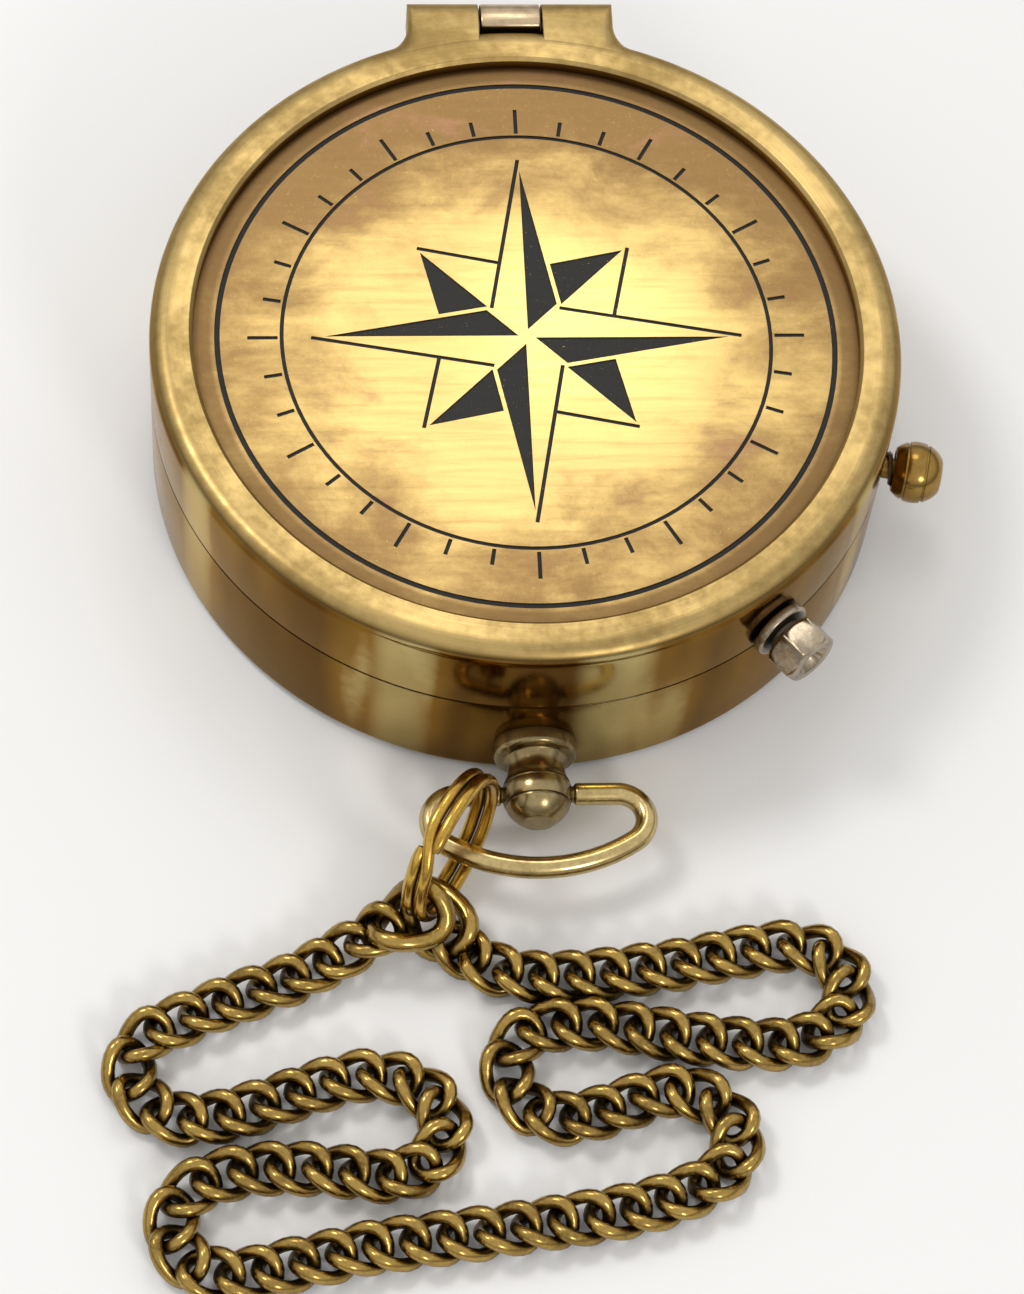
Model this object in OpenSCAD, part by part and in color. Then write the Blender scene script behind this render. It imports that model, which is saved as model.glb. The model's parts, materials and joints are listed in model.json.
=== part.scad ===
// Pocket compass with a hinged lid, a needle brake, a degree ring with its adjuster, a
// pendant with a swinging bow, a split ring and a chain. Millimetres, +Z up. The casing's
// axis is x = y = 0, the compass lies on z = 0, the hinge is at +Y and the pendant at -Y.

/* [Casing] */
// Outer radius of the round casing
casing_r = 37.5; // [36.5:0.5:40]
// Height of the base, up to the seam with the lid
base_h = 13.2; // [13.1:0.1:13.6]
// Wall of the base
base_wall = 3; // [2.9:0.1:3.1]
// Floor of the base
floor_t = 1.6; // [1.2:0.1:1.6]
// Round of the base's lower edge
base_round = 1.3; // [0.6:0.1:1.4]
// Height of the lip that centres the lid
lip_h = 0.9; // [0.5:0.1:1]
// Gap between the lip and the lid's wall
lip_gap = 0.2; // [0.1:0.05:0.3]
// Half angle of the lip, which is left out near the hinge
lip_half_angle = 100; // [60:5:105]
// Gap at the seam between base and lid
seam_gap = 0.1; // [0.05:0.05:0.2]

/* [Lid] */
// Height of the lid
lid_h = 9.7; // [9.4:0.1:11]
// Wall of the lid
lid_wall = 2; // [1.9:0.1:2.1]
// Round of the lid's outer top edge
lid_round = 1.9; // [0.8:0.1:1.9]
// Width of the lid's top rim
rim_w = 4.3; // [3.8:0.1:4.6]
// Small bevel along the rim's inner edge
rim_bevel = 0.35; // [0.2:0.05:0.5]
// How deep the plate lies below the rim
plate_recess = 1.5; // [1.2:0.1:1.6]
// Thickness of the plate
plate_t = 0.8; // [0.6:0.1:1]
// Depth of the etching
etch_d = 0.15; // [0.1:0.05:0.25]
// Distance of the etched border line from the lid's rim
border_inset = 2.4; // [2:0.1:4]
// Width of the etched border line
border_w = 0.55; // [0.4:0.05:0.8]
// Distance of the ring of ticks from the border line
tick_inset = 6.4; // [5.8:0.1:8]
// Distance of the wind rose's long points from the ring of ticks
rose_inset = 2.9; // [1:0.1:5]
// Half width of the rose's points at their root
rose_half_w = 3.4; // [2.5:0.1:4]
// Width of the fine lines and ticks
fine_w = 0.4; // [0.3:0.05:0.6]
// Length of the short ticks
tick_len = 1.8; // [1:0.1:2]
// Length of the long ticks
tick_long = 3; // [2:0.1:3.4]
// Thickness of the snap ring that holds the plate
snap_t = 0.9; // [0.6:0.1:1.2]
// Width of the snap ring
snap_w = 1.6; // [1.4:0.1:1.7]
// Depth of its groove in the lid's wall
snap_groove = 0.4; // [0.3:0.05:0.5]
// Open angle of the snap ring
snap_open = 14; // [8:1:30]

/* [Hinge] */
// Radius of the hinge barrels
hinge_r = 2.5; // [2.3:0.1:2.5]
// Distance of the hinge axis outside the casing's wall
hinge_set = 1.6; // [1.5:0.1:1.8]
// Depth of the barrels' top below the lid's top
hinge_drop = 0.1; // [0.05:0.05:0.3]
// Width of the whole hinge
hinge_w = 21.4; // [18:0.2:24]
// Width of the middle knuckle
knuckle_w = 6.2; // [5:0.2:7]
// Side gap beside the knuckle
knuckle_gap = 0.2; // [0.1:0.05:0.3]
// Radius of the hinge pin
hinge_pin_r = 0.95; // [0.8:0.05:1.1]
// Running clearance of the hinge pin
hinge_fit = 0.05; // [0.03:0.01:0.08]
// Fillet between the hinge lugs and the casing
lug_fillet = 3.2; // [2:0.2:4]
// Thickness of the knuckle's foot behind the casing
foot_t = 3; // [2.6:0.1:3.2]
// Lower end of the knuckle's foot
foot_z = 3.4; // [2.6:0.1:4]
// Radius of the foot's rivets
rivet_r = 0.8; // [0.6:0.1:1]
// Height of the rivets' heads
rivet_head_t = 0.6; // [0.4:0.1:0.8]

/* [Dial and glass] */
// Thickness of the dial plate
dial_t = 0.6; // [0.4:0.1:0.6]
// Clearance of the dial plate over the brake bar's raised ramp
dial_clear = 0.8; // [0.8:0.05:0.9]
// Hole of the dial plate round the lift collar
dial_hole_r = 2.6; // [2.5:0.1:2.8]
// Width of the seat's ledge under the dial plate
seat_ledge = 2.8; // [2.6:0.1:3.6]
// Thickness of the seat's wall round the dial plate
seat_wall = 3; // [2.8:0.1:3.2]
// Gap between the seat and the base's wall
seat_gap = 0.1; // [0.05:0.05:0.2]
// Number of screws in the dial plate
dial_screws_n = 3; // [3:1:4]
// Radius of the small screws
screw_r = 0.6; // [0.5:0.05:0.7]
// Radius of the screws' heads
screw_head_r = 1.1; // [1:0.05:1.2]
// Height of the screws' heads
screw_head_t = 0.5; // [0.4:0.1:0.6]
// Depth of the degree ring's underside below the seam
degree_drop = 2.5; // [2.45:0.05:2.55]
// Thickness of the degree ring
degree_t = 0.8; // [0.6:0.1:0.8]
// Width of the degree ring
degree_w = 5.75; // [5.3:0.05:6.8]
// Running clearance of the degree ring
degree_fit = 0.1; // [0.06:0.02:0.14]
// Thickness of the bezel
bezel_t = 0.95; // [0.85:0.05:1]
// Width of the bezel
bezel_w = 4.05; // [3.4:0.05:4.5]
// Thickness of the glass
glass_t = 0.5; // [0.4:0.05:0.5]
// Thickness of the gasket under the glass
gasket_t = 0.2; // [0.15:0.05:0.2]

/* [Needle] */
// Radius of the pivot post
post_r = 1; // [0.8:0.05:1]
// Rise of the pivot post over the dial plate
post_rise = 0.9; // [0.7:0.1:1]
// Radius of the steel pivot
pivot_r = 0.45; // [0.35:0.05:0.5]
// Length of the pivot above the post
pivot_l = 1.55; // [1.5:0.05:1.6]
// Distance of the needle's tips from the degree ring, seen from above
needle_gap = 2.6; // [1.6:0.1:8]
// Half width of the needle at its hub
needle_half_w = 2.6; // [2.4:0.1:3]
// Thickness of the needle
needle_t = 0.35; // [0.3:0.05:0.5]
// Radius of the hub's flange
hub_r = 2.3; // [2.1:0.1:2.5]
// Depth of the hub's underside below the pivot's tip
hub_drop = 1.2; // [1.1:0.05:1.25]
// Thickness of the jewel in the hub
jewel_t = 0.41; // [0.35:0.01:0.5]

/* [Needle brake] */
// Direction of the brake's button, from +X
brake_az = -11.2; // [-20:0.2:-5]
// Depth of its axis below the seam
brake_drop = 5.2; // [5.2:0.1:5.3]
// Travel of the button
brake_travel = 1.2; // [0.8:0.1:1.2]
// Radius of the button's ball
ball_r = 3.15; // [2.8:0.05:3.2]
// Depth of the flat cut from the ball's inner side
ball_cut = 0.95; // [0.8:0.05:1]
// Radius of the button's stem
brake_stem_r = 1.1; // [0.9:0.05:1.15]
// Running clearance of the stem
brake_fit = 0.06; // [0.04:0.01:0.1]
// Width of the brake bar
bar_w = 5; // [4.6:0.2:5.2]
// Thickness of the brake bar
bar_t = 0.8; // [0.6:0.1:0.8]
// Underside of the brake bar
bar_z = 2.4; // [2.35:0.05:2.45]
// Height of the lift collar's underside
collar_z = 4.2; // [4.1:0.05:4.2]
// Rise of the lift collar for each millimetre of the button
lift_slope = 0.75; // [0.5:0.05:0.75]

/* [Degree ring adjuster] */
// Direction of the adjuster, from +X
adjust_az = -51.3; // [-60:0.2:-40]
// Gap between the pinion's teeth and the degree ring's face
mesh_gap = 0.3; // [0.25:0.01:0.35]
// Radius of its stem
adjust_stem_r = 1; // [0.8:0.05:1]
// Running clearance of its stem
adjust_fit = 0.06; // [0.04:0.01:0.08]
// Outer radius of its bush
bush_r = 2.1; // [1.8:0.05:2.1]
// Radius of the bush's flange
bush_flange_r = 3.1; // [2.9:0.1:3.2]
// Width of the six-sided head across its flats
hex_af = 5.5; // [5:0.1:6]
// Length of the six-sided head
hex_l = 3.5; // [3:0.1:4]
// Teeth of the pinion
pinion_teeth = 8; // [8:1:8]
// Turns of the pinion for one turn of the degree ring
gear_ratio = 14; // [14:1:14]

/* [Pendant and bow] */
// Height of the pendant's axis
pendant_z = 5.3; // [5.1:0.1:5.5]
// Radius of the pendant's collar
pendant_collar_r = 4.1; // [3.8:0.1:4.3]
// Thickness of the collar
pendant_collar_t = 1.5; // [1.2:0.1:1.5]
// Radius of the neck between collar and ball
pendant_neck_r = 2.8; // [2.4:0.1:3]
// Radius of the pendant's ball
pendant_ball_r = 3.45; // [3.3:0.05:3.5]
// Distance of the ball's centre from the casing's wall
pendant_out = 5.4; // [5.3:0.1:5.6]
// Radius of the bow's wire
bow_wire_r = 1.1; // [1:0.05:1.15]
// Half width of the bow, to the middle of its wire
bow_half_w = 10.6; // [10.4:0.1:10.8]
// Radius of the bow's corners
bow_corner_r = 2.8; // [2.6:0.1:3]
// Turn of the bow's corners
bow_turn = 147; // [145:1:149]
// Radius of the bow's pivot pins
bow_pin_r = 0.8; // [0.7:0.05:0.9]
// Running clearance of these pins
bow_fit = 0.05; // [0.03:0.01:0.08]

/* [Split ring and chain] */
// Radius of the split ring, to the middle of its wire
ring_r = 7.2; // [7.1:0.1:7.3]
// Radius of the split ring's wire
ring_wire_r = 0.62; // [0.5:0.02:0.62]
// Gap between its two turns
ring_gap = 0.08; // [0.08:0.02:0.12]
// Radius of a chain link, to the middle of its wire
link_r = 2.4; // [2.3:0.05:2.45]
// Radius of the chain's wire
link_wire_r = 0.55; // [0.45:0.05:0.55]
// Radius of the two end links, to the middle of their wire
end_link_r = 2.9; // [2.8:0.05:3]
// Radius of the end links' wire
end_wire_r = 0.7; // [0.6:0.05:0.7]
// Distance from link to link
link_pitch = 3.2; // [3.15:0.05:3.3]

/* [Hidden] */

$fn = 64;
over = 1;             // overrun of every cut
touch = 0.02;         // clearance of two pieces that are pressed together
sink = 0.08;          // how far one shape runs into another that it is one piece with

// casing and lid
base_inner_r = casing_r - base_wall;
lid_z = base_h + seam_gap;
lid_top = lid_z + lid_h;
lid_inner_r = casing_r - lid_wall;
rim_inner_r = casing_r - rim_w;
lip_r = lid_inner_r - lip_gap;
lip_step = 0.05;      // set-back of the lip from the wall's inner face
plate_top = lid_top - plate_recess;
plate_z = plate_top - plate_t;
plate_r = lid_inner_r - lip_gap;
snap_r = lid_inner_r + snap_groove;
snap_z = plate_z - snap_t;
border_r = rim_inner_r - border_inset;
tick_r = border_r - tick_inset;
rose_long = tick_r - rose_inset;
rose_short_share = 0.7;
rose_inset_share = 0.9;
rose_split_share = 0.3;
tick_turn = 10;       // degrees from tick to tick

// hinge
hinge_y = casing_r + hinge_set;
hinge_z = lid_top - hinge_drop - hinge_r;
knuckle_clear = 0.25;
pin_l = hinge_w - 2 * knuckle_gap;
rivet_head_over = 0.43;
rivet_head_r = rivet_r + rivet_head_over;
rivet_cap_r = (pow(rivet_head_r, 2) + pow(rivet_head_t, 2)) / (2 * rivet_head_t);
rivet_shares = [0.22, 0.62];

// dial, glass and bezel
seat_r = base_inner_r - seat_gap;
seat_wall_r = seat_r - seat_wall;
seat_inner_r = seat_wall_r - seat_ledge;
dial_r = seat_wall_r - 2 * seat_gap;
degree_z = base_h - degree_drop;
seat_top = degree_z - degree_fit;
dial_screw_at = (seat_inner_r + dial_r) / 2;
screw_l = 3;
degree_top = degree_z + degree_t;
degree_out = base_inner_r - 1.5 * degree_fit;
degree_r = degree_out - degree_w;
needle_l = 2 * (degree_r - needle_gap);
bezel_out = base_inner_r - seat_gap / 2;
bezel_r = bezel_out - bezel_w;
bezel_rise = 0.3;     // height of the bezel's top above the seam
bezel_top = lid_z + bezel_rise;
bezel_z = bezel_top - bezel_t;
bezel_step = 1.5;
bezel_step_r = bezel_r + bezel_step;
bezel_step_w = 0.5;
bezel_flange_t = 0.4;
glass_drop = 0.2;     // depth of the glass below the bezel's top
glass_top = bezel_top - glass_drop;
gasket_z = glass_top - glass_t - gasket_t;
glass_r = bezel_step_r - seat_gap;

// adjuster
ring_teeth = pinion_teeth * gear_ratio;
ring_tooth_h = 1;
ring_tooth_w = 0.7;
ring_tooth_l = 1.35;
ring_tooth_gap = 0.25;
ring_tooth_out = base_inner_r - ring_tooth_gap;
ring_tooth_in = ring_tooth_out - ring_tooth_l;
pinion_head = 0.5;    // height of the pinion's teeth outside its pitch circle
pinion_foot = 0.8;    // and inside it
pinion_pitch_r = (ring_tooth_in + ring_tooth_out) / 2 / gear_ratio;
pinion_tip_r = pinion_pitch_r + pinion_head;
adjust_z = degree_top + mesh_gap + pinion_tip_r;
pinion_root_r = pinion_pitch_r - pinion_foot;
pinion_tooth_w = 0.5;
pinion_clear = 0.15;
pinion_gap = 0.3;
pinion_w = 1.2;
pinion_out = base_inner_r - pinion_gap;
pinion_in = pinion_out - pinion_w;
bridge_l = 2.2;
bridge_in = pinion_out - bridge_l;
bridge_wall = 0.8;
bridge_half_w = 3.8;
bridge_room_r = pinion_tip_r + pinion_clear;
bridge_top = adjust_z + bridge_room_r + bridge_wall;
bush_in = base_inner_r + touch;
bush_flange_in = casing_r + lip_gap;
bush_flange_t = 1;
bush_clear = 0.15;
hex_neck_r = 1.8;
hex_neck_l = 0.6;
hex_chamfer = 0.4;
hex_at = bush_flange_in + bush_flange_t + seam_gap;
hex_in = hex_at + hex_neck_l;
hex_out = hex_in + hex_l;
hex_dish_r = 1.7;
hex_dish_l = 1.3;

// brake
brake_z = base_h - brake_drop;
tab_gap = 0.8;
stem_end = base_inner_r - tab_gap;
tab_t = 0.8;
brake_pin_r = 0.7;
nut_r = 1.3;
nut_t = 0.8;
ball_in = casing_r + brake_travel + seam_gap;
ball_at = ball_in + ball_r - ball_cut;
ball_face_cut = 0.55; // depth of the flat cut from its outer side
ball_line_at = 1;     // distance of the ball's turned lines from its middle
line_w = 0.24;
line_d = 0.12;
spring_room_wall = 0.3;
spring_room_r = sqrt(pow(ball_r, 2) - pow(ball_r - ball_cut, 2)) - spring_room_wall;
spring_room_at = 0.3;
spring_room_out = ball_at + spring_room_at;
spring_r = (brake_stem_r + spring_room_r) / 2;
spring_wire_r = 0.25;
spring_turns = 2;
spring_steps = 14;
collar_fit = 0.12;
collar_flange_r = 3.2;
collar_flange_t = 0.6;
collar_r = 2.2;
collar_gap = 0.1;
lift = brake_travel * lift_slope;
rail_z = collar_z - collar_gap;
dial_z = rail_z + lift + dial_clear;
fork_w = 2.5;
fork_in = -3.4;
fork_out = 2.7;
guide_at = 18;
guide_w = 3;
guide_gap = 0.15;
guide_foot = 3;
window_side = 0.7;    // side gap of the bar's window in the seat
window_gap = 0.2;

// needle
post_top = dial_z + dial_t + post_rise;
pivot_tip_z = post_top + pivot_l;
hub_z = pivot_tip_z - hub_drop;
collar_top = hub_z - lift - collar_gap;
hub_h = hub_drop + jewel_t + needle_t + 2 * touch;
hub_neck_r = 1.6;
hub_bore_r = 1;
hub_flange_t = 0.25;
post_foot_r = 3;
post_foot_t = 0.6;
pivot_end_r = 0.05;

// pendant and bow
pendant_y = -(casing_r + pendant_out);
pendant_face_cut = 0.45;
pendant_line_at = 1.2;
pendant_tang_r = 1.6;
tang_reach = 1.5;
pendant_tang_in = base_inner_r - tang_reach;
pendant_nut_af = 4.6;
pendant_nut_t = 1.1;
nut_room_w = 7.2;
bow_x0 = bow_half_w - bow_corner_r;
bow_front_r = bow_corner_r + bow_x0 / sin(bow_turn);
bow_front_y = -bow_corner_r - (bow_front_r - bow_corner_r) * cos(bow_turn);
bow_side_gap = 0.3;
bow_pin_reach = 1.55;
bow_shoulder = pendant_ball_r + bow_side_gap;
bow_pin_in = pendant_ball_r - bow_pin_reach;
bow_sides = 12;
bow_steps = 14;

// split ring: two turns of wire on a common axis, with a short slanted step
ring_side_at = 8.99;  // place of its middle from the bow's pivots: to the side,
ring_front_at = 7.43; // in front
ring_rise = 4.29;     // and above
ring_at = [-ring_side_at, pendant_y - ring_front_at, pendant_z + ring_rise];
ring_turn = [0, 86.4, -31.1];
ring_start = 215;     // turn of the wire's ends about the ring's own axis
ring_half = ring_wire_r + ring_gap / 2;
ring_steps = 72;
ring_step_share = 0.07;

// chain: middle height of the links that lie on the surface
FLAT = 2.3;
// Route of the chain from end link to end link, chosen by hand in millimetres from below the
// bow's pivots
ROUTE = [[-12.55, -12.98, 5.76], [-16.1, -13.8, 4.2], [-19.6, -15.4, 2.7], [-24, -17.6, FLAT],
         [-29.5, -19.7, FLAT], [-34.5, -21.7, FLAT], [-38.6, -23.9, FLAT], [-39.8, -27.3, FLAT],
         [-37.8, -30.7, FLAT], [-34, -32, FLAT], [-28.5, -31.1, FLAT], [-22.5, -29.1, FLAT],
         [-17.5, -27.9, FLAT], [-12.8, -28.9, FLAT], [-10.2, -32.3, FLAT], [-11.2, -36.3, FLAT],
         [-15, -38.1, FLAT], [-20, -37.5, FLAT], [-26, -37.1, FLAT], [-31, -37.7, FLAT],
         [-34.9, -39.8, FLAT], [-35.9, -43.5, FLAT], [-33.6, -46.8, FLAT], [-29.4, -47.5, FLAT],
         [-23, -46.3, FLAT], [-17, -45.1, FLAT], [-11, -44.4, FLAT], [-5, -43.7, FLAT],
         [1, -42.9, FLAT], [7, -42, FLAT], [12.2, -40.5, FLAT], [16.4, -38.1, FLAT],
         [17.6, -34.4, FLAT], [15.4, -31.1, FLAT], [11.3, -30.1, FLAT], [6, -31.7, FLAT],
         [1.5, -32.7, FLAT], [-2.5, -31, FLAT], [-4, -27.3, FLAT], [-2, -23.8, FLAT],
         [2.6, -23, FLAT], [7.5, -23.4, FLAT], [13, -24.5, FLAT], [18.5, -25.3, FLAT],
         [24, -25.3, FLAT], [28.2, -23.1, FLAT], [29.6, -19.4, FLAT], [27.4, -16, FLAT],
         [23.2, -15.2, FLAT], [17.5, -16.1, FLAT], [12, -17.1, FLAT], [6.5, -17.7, FLAT],
         [1, -18, FLAT], [-4, -17.3, FLAT], [-8.1, -14.8, 2.5], [-10.6, -11.84, 3.72]];
route_steps = 6;
link_roll = 45;
end_rolls = [-18, -45];
end_space = 3.85;     // distance from an end link to the link beside it
chain_parts = 4;

function unit(v) = v / norm(v);
function bend(p0, p1, p2, p3, t) =
    (2 * p1 + (p2 - p0) * t + (2 * p0 - 5 * p1 + 4 * p2 - p3) * t * t
    + (3 * p1 - p0 - 3 * p2 + p3) * t * t * t) / 2;

last = len(ROUTE) - 1;
path = [for (i = [0 : last - 1]) for (k = [0 : route_steps - 1])
            bend(ROUTE[max(i - 1, 0)], ROUTE[i], ROUTE[i + 1], ROUTE[min(i + 2, last)],
                 k / route_steps),
        ROUTE[last]];
run = [for (i = 0, s = 0; i < len(path);
            i = i + 1, s = i < len(path) ? s + norm(path[i] - path[i - 1]) : s) s];
table_x = [for (i = [0 : len(path) - 1]) [run[i], path[i].x]];
table_y = [for (i = [0 : len(path) - 1]) [run[i], path[i].y]];
table_z = [for (i = [0 : len(path) - 1]) [run[i], path[i].z]];
chain_l = run[len(run) - 1];
links = round((chain_l - 2 * end_space) / link_pitch);
spacing = (chain_l - 2 * end_space) / links;
function at(s) = [lookup(s, table_x), lookup(s, table_y) + pendant_y, lookup(s, table_z)];

// Places its child on a radial axis of the casing: +Z of the child points outwards
module radial(az, z) {
    rotate([0, 0, az]) translate([0, 0, z]) rotate([0, 90, 0]) children();
}

module disc(r, z0, z1) {
    translate([0, 0, z0]) cylinder(r = r, h = z1 - z0);
}

module tube(r_in, r_out, z0, z1) {
    difference() {
        disc(r_out, z0, z1);
        disc(r_in, z0 - over, z1 + over);
    }
}

module hexagon(af, z0, z1) {
    translate([0, 0, z0]) cylinder(r = af / sqrt(3), h = z1 - z0, $fn = 6);
}

module base_casing() {
    color("darkgoldenrod") difference() {
        union() {
            rotate_extrude() {
                difference() {
                    square([casing_r, base_h]);
                    translate([casing_r - base_round, -over]) square([base_round + over, base_round + over]);
                    translate([-over, floor_t]) square([base_inner_r + over, base_h]);
                }
                translate([casing_r - base_round, base_round]) intersection() {
                    circle(base_round);
                    translate([0, -base_round]) square(base_round);
                }
            }
            rotate([0, 0, -90 - lip_half_angle]) rotate_extrude(angle = 2 * lip_half_angle)
                translate([base_inner_r + lip_step, base_h - sink])
                    square([lip_r - base_inner_r - lip_step, lip_h + sink]);
        }
        radial(brake_az, brake_z)
            disc(brake_stem_r + brake_fit, base_inner_r - over, casing_r + over);
        radial(adjust_az, adjust_z) disc(bush_r + touch, base_inner_r - over, casing_r + over);
        radial(-90, pendant_z) disc(pendant_tang_r + touch, base_inner_r - over, casing_r + over);
        for (share = rivet_shares)
            radial(90, foot_z + share * (base_h - foot_z))
                disc(rivet_r + touch, base_inner_r - over, casing_r + over);
    }
}

module hinge_knuckle() {
    color("peru") difference() {
        union() {
            difference() {
                translate([-knuckle_w / 2, casing_r - over, foot_z])
                    cube([knuckle_w, foot_t + over, hinge_z - foot_z]);
                disc(casing_r + touch, foot_z - over, base_h);
                disc(casing_r + knuckle_clear, base_h - touch, hinge_z + hinge_r);
            }
            translate([-knuckle_w / 2, hinge_y, hinge_z]) rotate([0, 90, 0])
                cylinder(r = hinge_r, h = knuckle_w);
        }
        translate([-knuckle_w / 2 - over, hinge_y, hinge_z]) rotate([0, 90, 0])
            cylinder(r = hinge_pin_r + touch, h = knuckle_w + 2 * over);
        for (share = rivet_shares)
            radial(90, foot_z + share * (base_h - foot_z))
                disc(rivet_r + touch, casing_r - over, casing_r + foot_t + over);
    }
}

module hinge_rivets() {
    face = casing_r + foot_t + touch;
    color("goldenrod") for (share = rivet_shares)
        radial(90, foot_z + share * (base_h - foot_z)) {
            disc(rivet_r, base_inner_r + touch, face + touch);
            difference() {
                translate([0, 0, face + rivet_head_t - rivet_cap_r]) sphere(rivet_cap_r);
                disc(2 * rivet_cap_r, face - 2 * rivet_cap_r, face);
            }
        }
}

module hinge_pin() {
    color("silver") translate([-pin_l / 2, hinge_y, hinge_z]) rotate([0, 90, 0])
        cylinder(r = hinge_pin_r, h = pin_l);
}

// Plan outline of the hinge lugs, with concave fillets down to the casing's wall
module lug_plan() {
    fillet_x = hinge_w / 2 + lug_fillet - sink;
    fillet_y = sqrt(pow(casing_r + lug_fillet - sink, 2) - pow(fillet_x, 2));
    foot = unit([fillet_x, fillet_y]) * (casing_r - sink);
    difference() {
        union() {
            translate([-hinge_w / 2, rim_inner_r]) square([hinge_w, hinge_y + hinge_r - rim_inner_r]);
            for (side = [-1, 1])
                polygon([[0, rim_inner_r / 2], [side * foot.x, foot.y],
                         [side * fillet_x, fillet_y], [0, fillet_y]]);
        }
        for (side = [-1, 1]) translate([side * fillet_x, fillet_y]) circle(lug_fillet);
    }
}

module hinge_lugs() {
    intersection() {
        translate([0, 0, hinge_z - hinge_r - over]) linear_extrude(2 * hinge_r + 2 * over) lug_plan();
        union() {
            translate([-casing_r / 2, hinge_y, hinge_z]) rotate([0, 90, 0])
                cylinder(r = hinge_r, h = casing_r);
            translate([-casing_r / 2, 0, hinge_z - hinge_r + touch])
                cube([casing_r, hinge_y, 2 * hinge_r - 2 * touch]);
        }
    }
}

module lid_ring() {
    color("darkgoldenrod") difference() {
        union() {
            rotate_extrude() {
                difference() {
                    translate([0, lid_z]) square([casing_r, lid_h]);
                    translate([casing_r - lid_round, lid_top - lid_round]) square(lid_round + over);
                    translate([-over, lid_z - over])
                        square([lid_inner_r + over, plate_top - lid_z + over]);
                    translate([-over, lid_z]) square([rim_inner_r + over, lid_h + over]);
                    translate([rim_inner_r, lid_top]) rotate(45)
                        square(rim_bevel * sqrt(2), center = true);
                }
                translate([casing_r - lid_round, lid_top - lid_round]) intersection() {
                    circle(lid_round);
                    square(lid_round);
                }
            }
            difference() {
                hinge_lugs();
                disc(lid_inner_r + snap_groove + touch, lid_z - over, lid_top + over);
            }
        }
        tube(lid_inner_r - over, snap_r + touch, snap_z - touch, plate_z + touch);
        translate([-knuckle_w / 2 - knuckle_gap, hinge_y, hinge_z]) rotate([0, 90, 0])
            cylinder(r = hinge_r + knuckle_clear, h = knuckle_w + 2 * knuckle_gap);
        translate([-knuckle_w / 2 - knuckle_gap, casing_r + touch, lid_z - over])
            cube([knuckle_w + 2 * knuckle_gap, foot_t + over, hinge_z - lid_z + over]);
        translate([-hinge_w / 2 - over, hinge_y, hinge_z]) rotate([0, 90, 0])
            cylinder(r = hinge_pin_r + hinge_fit, h = hinge_w + 2 * over);
        radial(adjust_az, adjust_z) disc(bush_r + bush_clear, rim_inner_r, casing_r + over);
        rotate([0, 0, adjust_az]) translate([rim_inner_r, -bush_r - bush_clear, lid_z - over])
            cube([casing_r, 2 * bush_r + 2 * bush_clear, adjust_z - lid_z + over]);
    }
}

function shrunk(p) = let (c = (p[0] + p[1] + p[2]) / 3)
    [for (q = p) c + (q - c) * rose_inset_share];

module etched_line(p, q) {
    translate(p) rotate(atan2(q.y - p.y, q.x - p.x)) translate([0, -fine_w / 2])
        square([norm(q - p), fine_w]);
}

// The wind rose: each point has one filled half and one outlined half
module rose() {
    corner = [rose_half_w, rose_half_w];
    tip = [0, rose_long];
    split = corner + (tip - corner) * rose_split_share;
    short_tip = rose_long * rose_short_share * unit(corner);
    for (turn = [0 : 90 : 270]) rotate(turn) {
        polygon(shrunk([[0, 0], corner, tip]));
        etched_line([-corner.x, corner.y], tip);
        polygon(shrunk([corner, split, short_tip]));
        etched_line([split.y, split.x], short_tip);
    }
}

module ring_line(r, w) {
    difference() {
        circle(r + w / 2);
        circle(r - w / 2);
    }
}

module lid_plate() {
    color("goldenrod") difference() {
        disc(plate_r, plate_z, plate_top - touch);
        translate([0, 0, plate_top - touch - etch_d]) {
            linear_extrude(etch_d + over) rose();
            linear_extrude(etch_d + over) ring_line(border_r, border_w);
            linear_extrude(etch_d + over) ring_line(tick_r, fine_w);
            for (turn = [0 : tick_turn : 359])
                rotate([0, 0, turn]) translate([tick_r + fine_w, -fine_w / 2, 0])
                    cube([turn % (3 * tick_turn) == 0 ? tick_long : tick_len, fine_w, etch_d + over]);
        }
    }
}

module lid_snap_ring() {
    color("silver") rotate([0, 0, 90 + snap_open / 2]) rotate_extrude(angle = 360 - snap_open)
        translate([snap_r - snap_w, snap_z]) square([snap_w, snap_t]);
}

module dial_seat() {
    color("tan") difference() {
        union() {
            tube(seat_inner_r, seat_r, floor_t + touch, dial_z);
            tube(seat_wall_r, seat_r, dial_z - touch, seat_top);
        }
        rotate([0, 0, brake_az])
            translate([seat_inner_r - over, -bar_w / 2 - window_side, bar_z - window_gap])
                cube([seat_r, bar_w + 2 * window_side, brake_z + nut_r - bar_z + 2 * window_gap]);
        translate([-nut_room_w / 2, -seat_r - over, floor_t - over])
            cube([nut_room_w, seat_r + 2 * over - pendant_tang_in,
                  pendant_z + nut_room_w / 2 - floor_t + over]);
        for (i = [0 : dial_screws_n - 1])
            rotate([0, 0, 90 + 360 * i / dial_screws_n]) translate([dial_screw_at, 0, 0])
                disc(screw_r + touch, dial_z - screw_l, dial_z + over);
    }
}

module dial_plate() {
    color("ivory") difference() {
        disc(dial_r, dial_z + touch, dial_z + dial_t);
        disc(dial_hole_r, dial_z - over, dial_z + dial_t + over);
        for (i = [0 : dial_screws_n - 1])
            rotate([0, 0, 90 + 360 * i / dial_screws_n]) translate([dial_screw_at, 0, 0])
                disc(screw_r + touch, dial_z - over, dial_z + dial_t + over);
    }
}

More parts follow.
